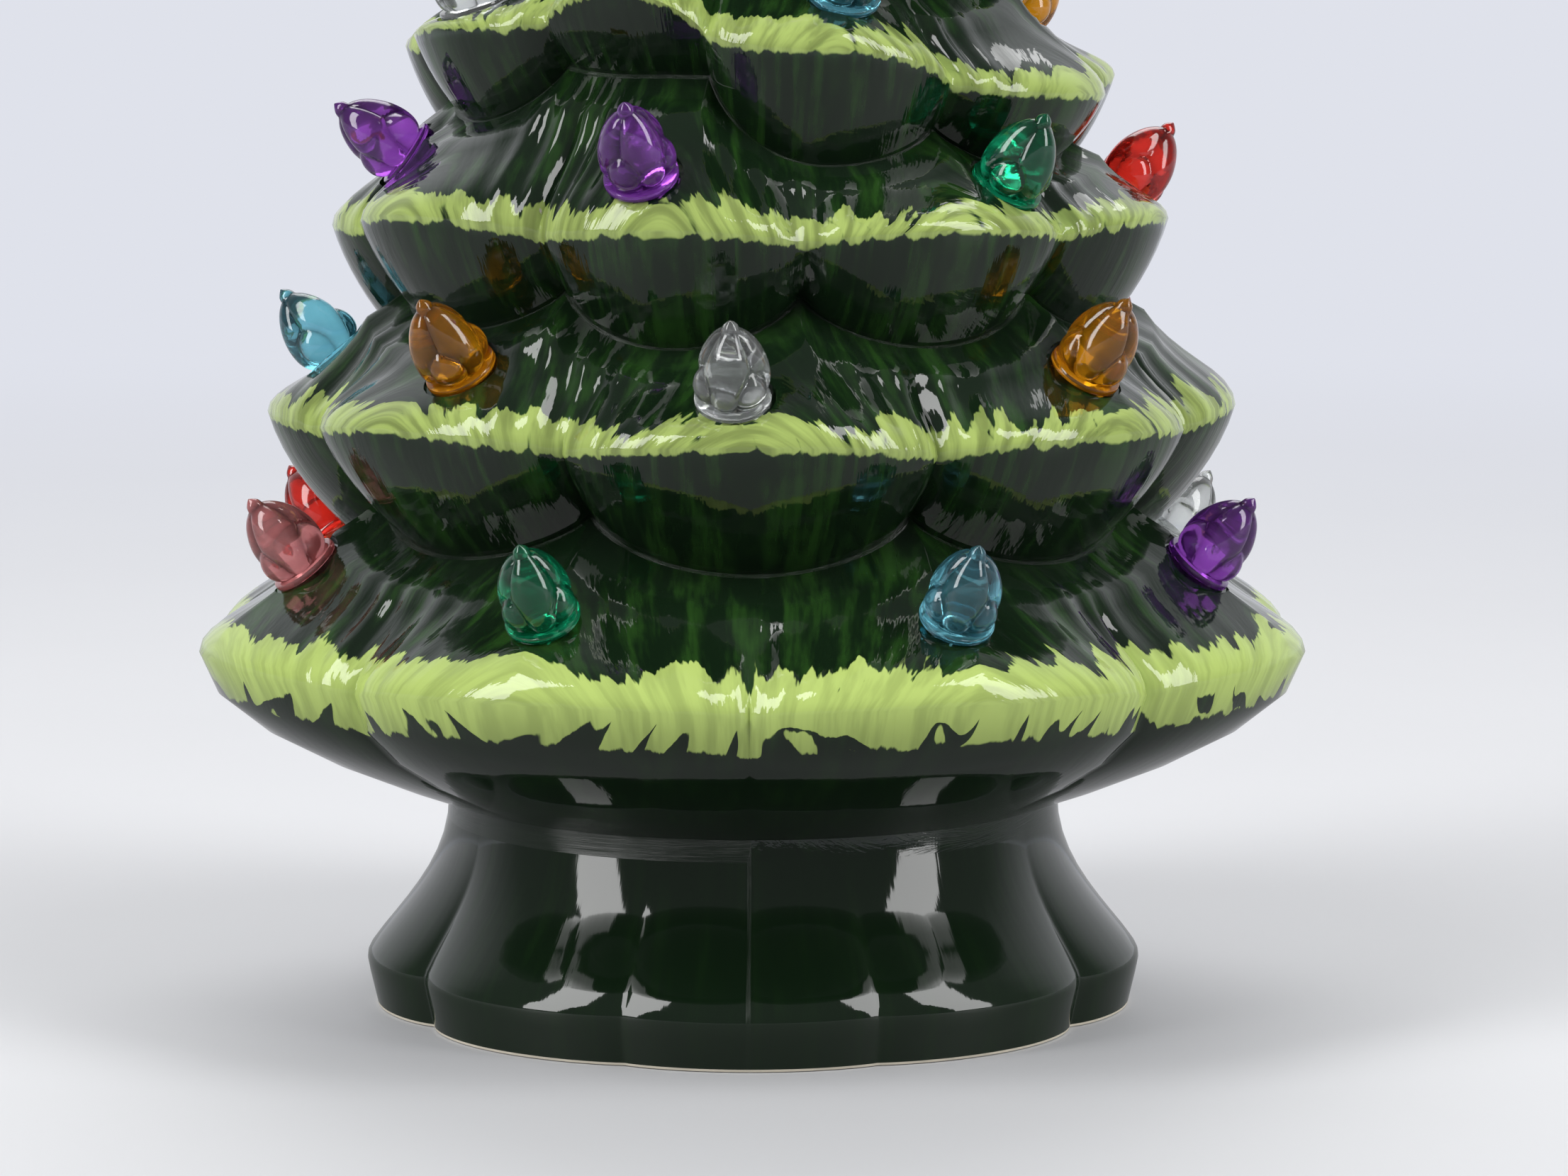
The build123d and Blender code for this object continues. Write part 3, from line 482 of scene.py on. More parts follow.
def crotch_point(tier, angles):
    """Where the underside of a tier meets the tier below, or the base's neck."""
    if tier == 0:
        return NECK_RADIUS, NECK_HEIGHT
    if tier == TIERS:
        return SKIRT_RADIUS * TIP_FOOT_SHARE, BODY_HEIGHT - TIP_DROP
    crown = crown_share(NOTCH_ANGLES[tier], angles)
    gap = tier_gap(tier)
    deepest = np.array(HANG_SHARES[tier])[find_bough(NOTCH_ANGLES[tier], angles)[0]]
    hang = HANG_VALLEY_SHARE + (deepest - HANG_VALLEY_SHARE) * crown
    height = tier_height(tier) + bough_lift(tier, angles) - gap * hang
    foot = SKIRT_RADIUS * RIM_RADIUS_SHARES[tier] * (1 - OVERHANG_SHARES[tier])
    return foot + TRUNK_SLOPE * (tier_height(tier) - gap * HANG_VALLEY_SHARE - height), height


def under_point(tier, angles, share):
    """A bough's underside, from the crotch out to the rim."""
    crotch = crotch_point(tier, angles)
    rim = rim_point(tier, angles)
    reach = rim[0] - crotch[0]
    rise = rim[1] - crotch[1]
    pull_crotch = (crotch[0] + UNDER_PULL[0] * reach, crotch[1] + UNDER_PULL[1] * rise)
    return bezier(crotch, pull_crotch, (rim[0], rim[1] - UNDER_PULL[2] * rise), rim, share)


def top_point(tier, angles, share):
    """A bough's top, from the rim in to the crotch of the tier above."""
    rim = rim_point(tier, angles)
    crotch = crotch_point(tier + 1, angles)
    reach = rim[0] - crotch[0]
    rise = crotch[1] - rim[1]
    pull_crotch = (crotch[0] + TOP_PULL[1] * reach, rim[1] + TOP_PULL[2] * rise)
    return bezier(rim, (rim[0], rim[1] + TOP_PULL[0] * rise), pull_crotch, crotch, share)


def foot_point(angles, share):
    """The foot band, from the floor up to its edge."""
    bough, across = find_bough(FLUTE_ANGLES, angles)
    notch = np.where(across > 0, bough + 1, bough) % len(FLUTE_SHARES)
    flute = FLUTE_DEPTH * np.array(FLUTE_SHARES)[notch] * (1 - crown_share(FLUTE_ANGLES, angles))
    return FOOT_RADIUS - FOOT_TUCK * (1 - share) - flute, FOOT_BAND_HEIGHT * share


def flare_point(angles, share):
    """The base's flare, from the foot band up to the neck."""
    edge = foot_point(angles, 1)
    reach = edge[0] - NECK_RADIUS
    rise = NECK_HEIGHT - edge[1]
    neck = crotch_point(0, angles)
    pull_edge = (edge[0] - FLARE_PULL[0] * reach, edge[1] + FLARE_PULL[1] * rise)
    return bezier(edge, pull_edge, (neck[0], neck[1] - FLARE_PULL[2] * rise), neck, share)


def tip_point(angles, share):
    """The rounded tip, up to the flat round the star's bore."""
    foot = crotch_point(TIERS, angles)
    pull = (foot[0], BODY_HEIGHT - TIP_DROP * TIP_PULL_SHARE)
    return bezier(foot, pull, pull, (TIP_RADIUS, foot[1] + TIP_DROP), share)


def turn(radius, height, angle):
    """A point in space, in metres, from radius, height and angle."""
    angle = math.radians(angle)
    return Vector((radius * math.sin(angle), -radius * math.cos(angle), height)) * MM


def bulb_seat(tier, angle, share):
    """A bulb's seat as a matrix: its origin on the spot face and Z along its peg, outwards."""
    angles = np.array([angle])
    here, before, after = (
        [float(value[0]) for value in top_point(tier, angles, place)]
        for place in (share, share - SLOPE_SHARE, share + SLOPE_SHARE)
    )
    lean = math.pi / 2 - math.atan2(before[0] - after[0], after[1] - before[1])
    out = turn(math.sin(lean), math.cos(lean), angle).normalized()
    side = turn(1, 0, angle + 90).normalized()
    origin = turn(*here, angle) - out * SEAT_SINK * MM
    return Matrix.Translation(origin) @ Matrix((side, out.cross(side), out)).transposed().to_4x4()


def undercut(tier, point, share):
    """A point cut in below a tier's boughs, by a share of the full depth at the crotch."""
    depth = SKIRT_RADIUS * RIM_RADIUS_SHARES[tier] * UNDERCUT_SHARE if 0 < tier < TIERS else 0.0
    return point[0] - depth * share, point[1]


def needle_strength(tier, angles, share):
    """How strongly the needles stand out on a bough's top, from 0 to 1, most in the valleys."""
    valley = 1 - crown_share(NOTCH_ANGLES[tier], angles)
    rise = np.clip(share / NEEDLE_RISE_SHARE, NEEDLE_LEAST_SHARE, 1)
    window = rise * np.clip((1 - share) / NEEDLE_FADE_SHARE, 0, 1)
    strength = NEEDLE_LEAST_SHARE + (1 - NEEDLE_LEAST_SHARE) * valley
    return strength * window * (1.0 if tier else NEEDLE_SKIRT_SHARE)


def around_circle(sides):
    """Angles of the points round a circle, in radians."""
    return np.radians(np.linspace(0, 360, sides, endpoint=False))


def ring_faces(rings, sides, closed, start=0):
    """Faces between rings of points: a closed tube, or one with a cap on each end."""
    here = start + np.arange(rings * sides).reshape(rings, sides)
    if closed:
        here = np.append(here, here[:1], axis=0)
    beside = np.roll(here, -1, axis=1)
    faces = np.stack([here[:-1], beside[:-1], beside[1:], here[1:]], axis=-1).reshape(-1, 4).tolist()
    return faces if closed else faces + [here[0, ::-1].tolist(), here[-1].tolist()]


def new_mesh(name, points, faces):
    """A mesh from points in metres and faces."""
    mesh = bpy.data.meshes.new(name)
    mesh.from_pydata(points, [], faces)
    mesh.update()
    return mesh


def new_object(name, data):
    """An object in the scene, at the origin."""
    made = bpy.data.objects.new(name, data)
    bpy.context.scene.collection.objects.link(made)
    return made


def modify(piece, kind, **settings):
    """A modifier with its settings."""
    made = piece.modifiers.new(kind.title(), kind)
    for key, value in settings.items():
        setattr(made, key, value)
    return made


def evaluated_mesh(piece):
    """A plain mesh of a piece with its modifiers worked out, in place of the piece."""
    graph = bpy.context.evaluated_depsgraph_get()
    mesh = bpy.data.meshes.new_from_object(
        piece.evaluated_get(graph), preserve_all_data_layers=True, depsgraph=graph
    )
    bpy.data.objects.remove(piece)
    return mesh


def set_values(mesh, name, values):
    """A point attribute for a material to follow."""
    mesh.attributes.new(name, "FLOAT", "POINT").data.foreach_set("value", values.astype(np.float32))


def smooth(mesh, degrees):
    """Smooth shading that keeps the edges sharper than an angle."""
    mesh.shade_smooth()
    mesh.set_sharp_from_angle(angle=math.radians(degrees))


def clean_cuts(mesh):
    """Merge the slivers and lone points that the drills leave, and cut large faces into triangles."""
    work = bmesh.new()
    work.from_mesh(mesh)
    bmesh.ops.remove_doubles(work, verts=work.verts, dist=SLIVER)
    bmesh.ops.dissolve_degenerate(work, dist=SLIVER, edges=work.edges)
    bmesh.ops.triangulate(work, faces=[face for face in work.faces if len(face.verts) > 4])
    bmesh.ops.dissolve_degenerate(work, dist=SLIVER, edges=work.edges)
    bmesh.ops.dissolve_verts(work, verts=[point for point in work.verts if len(point.link_edges) == 2])
    work.to_mesh(mesh)
    work.free()


def dim(tint, share):
    """A share of a colour."""
    return [share * value for value in tint]


class Nodes:
    """Short hand for building a node tree."""

    def __init__(self, tree):
        self.tree = tree

    def node(self, kind, **settings):
        """A new node with its settings."""
        made = self.tree.nodes.new(kind)
        for key, value in settings.items():
            setattr(made, key, value)
        return made

    def put(self, socket, value):
        """A link or a plain value into a socket."""
        if isinstance(value, bpy.types.NodeSocket):
            self.tree.links.new(value, socket)
        elif socket.type == "RGBA" and len(value) == 3:
            socket.default_value = (*value, 1.0)
        else:
            socket.default_value = value

    def fill(self, made, *values, **named):
        """A node with values or links in its first sockets, or in sockets by their names."""
        for socket, value in zip(made.inputs, values):
            self.put(socket, value)
        for name, value in named.items():
            self.put(made.inputs[name.replace("_", " ")], value)
        return made


class Shade(Nodes):
    """Short hand for building the nodes of a material or a world."""

    def __init__(self, owner, surface="Principled BSDF"):
        owner.use_nodes = True
        super().__init__(owner.node_tree)
        self.owner = owner
        self.surface = self.tree.nodes[surface]
        self.plus, self.less, self.times, self.scaled = (
            partial(self.math, operation) for operation in ("ADD", "SUBTRACT", "MULTIPLY", "MULTIPLY_ADD")
        )

    def math(self, operation, *values):
        """A Math node's result."""
        return self.fill(self.node("ShaderNodeMath", operation=operation), *values).outputs[0]

    def fade(self, value, low, high, start=0.0, end=1.0):
        """A smooth step from start to end as value runs from low to high."""
        made = self.node("ShaderNodeMapRange", interpolation_type="SMOOTHSTEP")
        return self.fill(made, value, low, high, start, end).outputs["Result"]

    def attribute(self, name):
        """A point attribute of the mesh."""
        return self.node("ShaderNodeAttribute", attribute_name=name).outputs["Fac"]

    def coordinates(self, kind="Object"):
        """Coordinates of a kind."""
        return self.node("ShaderNodeTexCoord").outputs[kind]

    def split(self, vector):
        """A vector's parts."""
        return self.fill(self.node("ShaderNodeSeparateXYZ"), vector).outputs

    def vector(self, x, y, z):
        """A vector from its parts."""
        return self.fill(self.node("ShaderNodeCombineXYZ"), x, y, z).outputs[0]

    def measure(self, operation, *vectors):
        """A Vector Math node's number."""
        return self.fill(self.node("ShaderNodeVectorMath", operation=operation), *vectors).outputs["Value"]

    def noise(self, vector, scale, detail=2.0, roughness=0.5):
        """Noise from 0 to 1."""
        made = self.fill(self.node("ShaderNodeTexNoise"), vector, Scale=scale, Detail=detail)
        return self.fill(made, Roughness=roughness).outputs["Fac"]

    def mix(self, share, first, second):
        """A colour between two."""
        made = self.node("ShaderNodeMix", data_type="RGBA")
        for socket, value in zip((0, 6, 7), (share, first, second)):
            self.put(made.inputs[socket], value)
        return made.outputs[2]

    def patchy(self, tint, noise, low, high, share):
        """A tint that falls to a share of itself as noise runs from low to high."""
        return self.mix(self.fade(noise, low, high), tint, dim(tint, share))

    def bump(self, height, strength, distance):
        """A bump from a height."""
        made = self.fill(self.node("ShaderNodeBump"), strength, distance, Height=height)
        self.set(Normal=made.outputs[0])

    def set(self, **values):
        """Values or links for the surface's own sockets."""
        self.fill(self.surface, **values)

    def show(self, share, kind, tint):
        """A flat colour in place of the surface, by a share."""
        surface = self.surface.outputs[0]
        end = surface.links[0].to_socket
        flat = self.fill(self.node(kind), tint)
        blend = self.fill(self.node("ShaderNodeMixShader"), share, surface, flat.outputs[0])
        self.put(end, blend.outputs[0])


def new_shade(name):
    """The nodes of a new material."""
    return Shade(bpy.data.materials.new(name))


def glaze_material(settings):
    """Mottled green glaze with a brushed light band along every rim, bare clay on the foot and inside."""
    shade = new_shade("brushed_green_glaze")
    values = map(shade.attribute, GLAZE_VALUES)
    above_rim, below_rim, around, needle_turn, skirt, mottle, needle, bare = values
    rim = shade.less(above_rim, below_rim)
    points = shade.coordinates()
    drift = shade.measure("DOT_PRODUCT", points, BRUSH_DRIFT)

    def brushed(across, along, seed, detail, roughness, slant):
        """Noise drawn out along the brush."""
        slanted = shade.scaled(rim, slant, shade.times(around, across))
        place = shade.vector(slanted, shade.times(rim, along), shade.plus(drift, seed))
        return shade.noise(place, 1.0, detail, roughness)

    strokes = brushed(*STROKES)
    brush = brushed(*BRUSH)
    uneven = shade.less(strokes, 0.5)
    sweep = shade.less(brushed(*SWEEP), 0.5)

    # Dark blades lie where a slanted noise crosses its middle
    off_middle = shade.math("ABSOLUTE", shade.less(brushed(*BLADES), 0.5))
    blades = shade.math("MAXIMUM", shade.scaled(off_middle, -BLADE_SHARPNESS, 1.0), 0.0)

    upper = shade.fade(skirt, 0.0, 1.0, settings.rim_reach / MM, settings.skirt_reach / MM)
    upper = shade.plus(shade.scaled(uneven, UPPER_RAGGED, upper), shade.times(sweep, UPPER_DRIFT))
    jagged = shade.times(uneven, shade.scaled(skirt, *LOWER_RAGGED))
    jagged = shade.less(jagged, shade.times(blades, shade.scaled(skirt, *LOWER_BLADES)))
    lower = shade.plus(shade.scaled(skirt, settings.skirt_drop / MM - RIM_DROP, RIM_DROP), jagged)
    above = shade.fade(below_rim, shade.less(lower, LOWER_SOFT), lower, 1.0, 0.0)
    below = shade.fade(above_rim, shade.less(upper, UPPER_SOFT), upper, 1.0, 0.0)
    band = shade.times(above, below)

    cloud = shade.noise(points, *GLAZE_CLOUD)
    patches = shade.fade(shade.scaled(brush, THIN_BRUSH, shade.times(cloud, THIN_CLOUD)), *THIN_RANGE)
    green = shade.mix(shade.times(patches, mottle), settings.dark, settings.mid)
    streak = shade.fade(brush, *STREAK_RANGE)
    thick = shade.mix(streak, *(dim(settings.light, share) for share in SKIRT_PAINT_SHARES))
    sparse = shade.mix(streak, *(dim(settings.light, share) for share in RIM_PAINT_SHARES))
    halfway = [(first + second) / 2 for first, second in zip(settings.mid, settings.light)]
    worn = shade.mix(shade.fade(band, *WORN_RANGE), green, halfway)
    painted = shade.mix(shade.fade(band, *PAINTED_RANGE), worn, shade.mix(skirt, sparse, thick))

    ridge = shade.times(shade.scaled(shade.math("COSINE", needle_turn), 0.5, 0.5), needle)
    hollow = shade.times(shade.less(needle, ridge), shade.fade(band, *HOLLOW_RANGE))
    glazed = shade.mix(hollow, painted, settings.dark)
    clay = shade.patchy(settings.bisque, cloud, *CLAY_PATCHES)
    shade.set(
        Base_Color=shade.mix(shade.fade(bare, *BARE_RANGE), glazed, clay),
        Roughness=shade.fade(bare, *BARE_GLOSS_RANGE, settings.roughness, CLAY_ROUGHNESS),
        IOR=GLAZE_IOR,
    )
    relief = shade.times(shade.noise(points, RIPPLE_SCALE, 1.0), RIPPLE_HEIGHT)
    relief = shade.scaled(ridge, RIDGE_BUMP_SHARE * settings.needle / MM, relief)
    shade.bump(shade.scaled(shade.times(strokes, mottle), STROKE_HEIGHT, relief), 1.0, MM)
    return shade.owner


def tinted_plastic(name, tint, clearness):
    """Moulded clear plastic with a tint, faint flow marks, a little haze and painted shade along the creases
    that the mesh marks.
    """
    shade = new_shade(name)
    points = shade.coordinates()
    flow = shade.noise(points, *FLOW_NOISE)
    body = shade.patchy(tint, flow, *FLOW_PATCHES)
    # Painted shade: the tint darkens along the petal creases that the bulb mesh marks
    creased = shade.times(shade.attribute("crease"), CREASE_SHADE_STRENGTH)
    shade.set(
        Base_Color=shade.mix(creased, body, dim(tint, CREASE_SHADE_DIM)),
        Roughness=shade.fade(flow, *FLOW_GLOSS),
        IOR=PLASTIC_IOR,
        Transmission_Weight=clearness,
        Coat_Weight=COAT_WEIGHT,
        Coat_Roughness=COAT_ROUGHNESS,
    )
    shade.bump(shade.noise(points, HAZE_SCALE), *HAZE_BUMP)
    return shade.owner


def moulded_plastic(name, tint, roughness):
    """Opaque moulded plastic with fine grain."""
    shade = new_shade(name)
    points = shade.coordinates()
    cloud = shade.noise(points, *CLOUD_NOISE)
    shade.set(
        Base_Color=shade.patchy(tint, cloud, *CLOUD_PATCHES),
        Roughness=shade.fade(cloud, *CLOUD_GLOSS_RANGE, roughness, roughness + CLOUD_GLOSS_RISE),
    )
    shade.bump(shade.noise(points, GRAIN_SCALE), *GRAIN_BUMP)
    return shade.owner


def plated_metal(name, tint):
    """Plated strip with drawn lines."""
    shade = new_shade(name)
    x, y, z = shade.split(shade.coordinates())
    lines = shade.noise(shade.vector(shade.times(x, DRAWN_SCALE), y, z), 1.0)
    shade.set(
        Base_Color=shade.patchy(tint, lines, *DRAWN_PATCHES),
        Metallic=1.0,
        Roughness=shade.fade(lines, *DRAWN_GLOSS),
    )
    return shade.owner


class TREE_OT_casting(bpy.types.Operator):
    """Model the glazed casting with its grooves, holes and bands"""

    bl_idname = "tree.casting"
    bl_label = "Glazed casting"

    def profile(self, angles, settings):
        """Rings of the casting round its whole section, with the values that its glaze follows."""
        even = np.zeros(len(angles))
        turned = np.radians(angles)
        rings = []

        def add(
            point, above=0.0, below=FAR_BELOW, tier=-1, mottle=BASE_MOTTLE, needle=0.0, bare=0.0, along=0.0
        ):
            """One more ring, with its needles cut in."""
            circle = angles * BASE_STEP
            if tier >= 0:
                across = find_bough(NOTCH_ANGLES[tier], angles)[1]
                half = math.pi * SKIRT_RADIUS * RIM_RADIUS_SHARES[tier] / len(NOTCH_ANGLES[tier])
                fan = (1 - np.sqrt(across * across + NEEDLE_ROUNDING)) / (1 + NEEDLE_FAN * along)
                circle = fan * half + TIER_STEP * tier
            bend = sum(size * np.sin(waves * turned + shift * tier) for size, waves, shift in NEEDLE_WAVES)
            needle_turn = (circle + bend) * 2 * math.pi * MM / settings.needle_gap
            carve = needle * (0.5 - 0.5 * np.cos(needle_turn)) * settings.needle / MM
            radius, height = (value - carve * cut for value, cut in zip(point, NEEDLE_CUT))
            values = (radius, height, above, below, circle, needle_turn, tier == 0, mottle, needle, bare)
            rings.append([value + even for value in values])

        def lengths(points):
            """How far each point lies from the first."""
            steps = [np.hypot(b[0] - a[0], b[1] - a[1]) for a, b in zip(points, points[1:])]
            return [even] + list(np.cumsum(steps, axis=0))

        add((RECESS_RADIUS, 0.0), bare=1.0)
        for share in FOOT_ROWS:
            add(foot_point(angles, share), bare=float(share < BARE_FOOT_SHARE))
        edge = foot_point(angles, 1.0)
        band_end = foot_point(angles, 1 - FOOT_EDGE_SHARES[0])
        flare_start = flare_point(angles, FOOT_EDGE_SHARES[1])
        for share in EDGE_ROWS:
            add(bezier(band_end, edge, edge, flare_start, share))
        for share in np.linspace(FOOT_EDGE_SHARES[1], 1, FLARE_ROWS)[:-1]:
            add(flare_point(angles, share))
        for tier in range(TIERS):
            shares = np.linspace(0, 1, UNDER_ROWS[0 if 0 < tier < SEEN_TIERS else 1])
            points = [under_point(tier, angles, share) for share in shares]
            runs = lengths(points)
            for share, point, run in zip(shares[:-1], points, runs):
                mottle = UNDER_MOTTLE if tier else SKIRT_MOTTLE
                add(undercut(tier, point, 1 - share), 0.0, runs[-1] - run, tier, mottle)
            shares = np.linspace(0, UNDERCUT_START, TOP_ROWS[0 if tier < SEEN_TIERS else 1])
            shares = np.append(shares, CROTCH_ROWS)
            points = [top_point(tier, angles, share) for share in shares]
            for share, point, run in zip(shares[:-1], points, lengths(points)):
                point = undercut(tier + 1, point, max(share - UNDERCUT_START, 0) / (1 - UNDERCUT_START))
                add(point, run, 0.0, tier, TOP_MOTTLE, needle_strength(tier, angles, share), 0.0, share)
        for share in TIP_ROWS:
            add(tip_point(angles, share), mottle=TIP_MOTTLE)
        inside = [(STAR_BORE, BODY_HEIGHT), (STAR_BORE, CAVITY[-1][1])]
        inside += [(radius * HOLLOW_SHARE, height) for radius, height in CAVITY[:0:-1]]
        inside += [CAVITY[0], (BASE_BORE, RECESS_DEPTH), (RECESS_RADIUS, RECESS_DEPTH)]
        for point in inside:
            add(point, bare=1.0)
        return np.array(rings)

    def cutters(self):
        """Stepped drills, one for each bulb's hole and spot face, as one mesh."""
        spot = FLANGE_RADIUS + FLANGE_PLAY
        steps = [
            (DRILL_POLE, -DRILL_DEPTH), (HOLE_RADIUS, -DRILL_DEPTH), (HOLE_RADIUS, 0.0),
            (spot, 0.0), (spot, DRILL_RISE), (DRILL_POLE, DRILL_RISE),
        ]
        circle = around_circle(DRILL_SIDES)
        drill = np.array([(r * math.cos(a), r * math.sin(a), z) for r, z in steps for a in circle]) * MM
        points, faces = [], []
        for node, tier, angle, share in BULBS:
            seat = bulb_seat(tier, angle, share)
            faces += ring_faces(len(steps), DRILL_SIDES, False, len(points))
            points += [seat @ Vector(point) for point in drill]
        return new_mesh("bulb_drills", points, faces)

    def execute(self, context):
        settings = context.scene.tree_glaze
        angles = np.linspace(0, 360, CASTING_SIDES, endpoint=False)
        rings = self.profile(angles, settings)
        radius, height = rings[:, 0], rings[:, 1]
        turned = np.radians(angles)[None, :]
        points = np.stack([radius * np.sin(turned), -radius * np.cos(turned), height], axis=-1) * MM
        points = points.reshape(-1, 3)
        faces = ring_faces(len(rings), CASTING_SIDES, True)
        raw = new_object("casting_raw", new_mesh("casting_raw", points.tolist(), faces))
        drills = new_object("bulb_drills", self.cutters())
        modify(raw, "BOOLEAN", operation="DIFFERENCE", solver="MANIFOLD", object=drills)
        mesh = evaluated_mesh(raw)
        bpy.data.objects.remove(drills)
        clean_cuts(mesh)
        if len(mesh.polygons) < CASTING_SIDES * LEAST_ROWS:
            raise RuntimeError("the bulb holes could not be cut")
        mesh.name = "glazed_casting"
        tree = KDTree(len(points))
        for index, point in enumerate(points):
            tree.insert(point, index)
        tree.balance()
        nearest = [tree.find(vertex.co)[1] for vertex in mesh.vertices]
        for name, values in zip(GLAZE_VALUES, rings[:, 2:].transpose(1, 0, 2)):
            set_values(mesh, name, values.reshape(-1)[nearest])
        smooth(mesh, CASTING_SHARP)
        mesh.materials.clear()
        mesh.materials.append(glaze_material(settings))
        casting = new_object("glazed_casting", mesh)
        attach(casting, "tree")
        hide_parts("tree_body")
        return {"FINISHED"}


class TREE_OT_bulbs(bpy.types.Operator):
    """Mould one bud bulb and seat a copy in every hole"""

    bl_idname = "tree.bulbs"
    bl_label = "Bud bulbs"

    def drop_radius(self, radius, span, heights):
        """Radius of a petal's drop shape at heights above its foot, below 0 beyond its ends."""
        share = np.linspace(0, 1, DROP_POINTS)
        back = 1 - share
        low, high = 3 * back * back * share, 3 * back * share * share
        wide = radius * (low * DROP_LOW_SHARE + high * DROP_HIGH_SHARE)
        tall = span * (high * DROP_SHOULDER_SHARE + share**3)
        return np.interp(heights, tall, wide, left=-1.0, right=-1.0)

    def bud_radius(self, heights, crease):
        """Reach of the bud from its axis at heights above its foot, and its creases, for every angle."""
        circle = around_circle(BULB_SIDES)
        drops = [(*CORE_SHARES, 0.0, 0, 0)]
        for step in range(PETALS):
            drops.append((*UPPER_PETAL_SHARES, UPPER_PETAL_LEAN, 360 * step / PETALS))
            drops.append((*LOWER_PETAL_SHARES, LOWER_PETAL_LEAN, 360 * (step + 0.5) / PETALS))
        reaches = []
        for radius, span, stand, lean, first in drops:
            wide = self.drop_radius(radius * BUD_RADIUS, span * BUD_LENGTH, heights)[:, None]
            centre = (stand * BUD_RADIUS + math.tan(math.radians(lean)) * heights)[:, None]
            off = circle[None, :] - math.radians(first)
            inside = wide * wide - (centre * np.sin(off)) ** 2
            reach = centre * np.cos(off) + np.sqrt(np.clip(inside, 0, None))
            reaches.append(np.where((inside > 0) & (wide > 0), reach, 0.0))
        reaches = np.sort(np.array(reaches), axis=0)
        soft = max(crease / MM, CREASE_LEAST)
        largest, second = reaches[-1], reaches[-2]
        creased = np.exp((second - largest) / (CREASE_SPREAD * soft)) * (second > CREASE_CORE)
        merged = soft * np.log(np.exp((reaches - largest) / soft).sum(axis=0))
        return largest + merged * CREASE_BLEND - CREASE_DEPTH * creased, creased

    def bulb_mesh(self, settings):
        """A bulb at the origin: peg, rounded flange and bud in one skin."""
        circle = around_circle(BULB_SIDES)
        bottom = SEAT_GAP - PEG_LENGTH
        flange_top = SEAT_GAP + FLANGE_THICKNESS
        lathe = [
            (PEG_POLE, bottom), (PEG_RADIUS - PEG_BEVEL, bottom), (PEG_RADIUS, bottom + PEG_BEVEL),
            (PEG_RADIUS, SEAT_GAP - PEG_FILLET[1]), (PEG_RADIUS + PEG_FILLET[0], SEAT_GAP),
        ]
        lathe += [(FLANGE_RADIUS - inset, SEAT_GAP + rise) for inset, rise in FLANGE_ROUND]
        lathe += [(FLANGE_RADIUS - inset, flange_top - rise) for inset, rise in reversed(FLANGE_ROUND)]
        rises = np.append(
            np.linspace(FLANGE_THICKNESS / 2, BUD_LENGTH * BUD_SHOULDER_SHARE, BUD_ROWS),
            BUD_LENGTH * np.array(BUD_TIP_SHARES),
        )
        reach, creased = self.bud_radius(rises, settings.crease)
        reach[0] = np.minimum(reach[0], FLANGE_RADIUS - BUD_FOOT_INSET)
        foot = SEAT_GAP + FLANGE_THICKNESS / 2
        rows = lathe + [(np.clip(row, BUD_POLE, None), foot + rise) for row, rise in zip(reach, rises)]
        rings = [np.stack([r * np.cos(circle), r * np.sin(circle), 0 * circle + z], axis=-1) for r, z in rows]
        points = (np.array(rings) * MM).reshape(-1, 3).tolist()
        mesh = new_mesh("bud_bulb", points, ring_faces(len(rings), BULB_SIDES, False))
        # The crease share is kept on the points so that the plastic paints shade along the creases
        set_values(mesh, "crease", np.append(np.zeros(len(lathe) * BULB_SIDES), creased))
        smooth(mesh, BULB_SHARP)
        return mesh

    def seating_tree(self):
        """Geometry nodes that stand the bulb in its hole and give it its plastic."""
        tree = bpy.data.node_groups.new("bulb_seating", "GeometryNodeTree")
        kinds = {"Geometry": "Geometry", "Seat": "Vector", "Lean": "Rotation", "Plastic": "Material"}
        for name, kind in kinds.items():
            tree.interface.new_socket(name=name, in_out="INPUT", socket_type=f"NodeSocket{kind}")
        tree.interface.new_socket(name="Geometry", in_out="OUTPUT", socket_type="NodeSocketGeometry")
        nodes = Nodes(tree)
        entry = nodes.node("NodeGroupInput").outputs
        point = nodes.fill(nodes.node("GeometryNodePoints"), Position=entry["Seat"])
        stand = nodes.fill(nodes.node("GeometryNodeInstanceOnPoints"), point.outputs[0])
        nodes.fill(stand, Instance=entry["Geometry"], Rotation=entry["Lean"])
        real = nodes.fill(nodes.node("GeometryNodeRealizeInstances"), stand.outputs[0])
        paint = nodes.fill(nodes.node("GeometryNodeSetMaterial"), real.outputs[0], Material=entry["Plastic"])
        nodes.fill(nodes.node("NodeGroupOutput"), paint.outputs[0])
        return tree

    def execute(self, context):
        settings = context.scene.tree_bulbs
        plain = self.bulb_mesh(settings)
        tree = self.seating_tree()
        sockets = {item.name: item.identifier for item in tree.interface.items_tree if item.in_out == "INPUT"}
        plastics = {
            tint: tinted_plastic(f"{tint}_bulb_plastic", getattr(settings, tint), clearness)
            for tint, clearness in CLEARNESS.items()
        }
        for index, (node, tier, angle, share) in enumerate(BULBS):
            tint = node.rsplit("_", 1)[1]
            seat = bulb_seat(tier, angle, share) @ Matrix.Rotation(math.radians(BULB_TURN * index), 4, "Z")
            host = new_object("bulb_host", plain)
            seating = modify(host, "NODES", node_group=tree)
            seating[sockets["Seat"]] = tuple(seat.translation)
            seating[sockets["Lean"]] = tuple(seat.to_euler())
            seating[sockets["Plastic"]] = plastics[tint]
            mesh = evaluated_mesh(host)
            mesh.name = node.replace("bulb", "bud")
            bulb = new_object(mesh.name, mesh)
            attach(bulb, "_".join(node.split("_")[:2]))
            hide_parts(node)
        return {"FINISHED"}


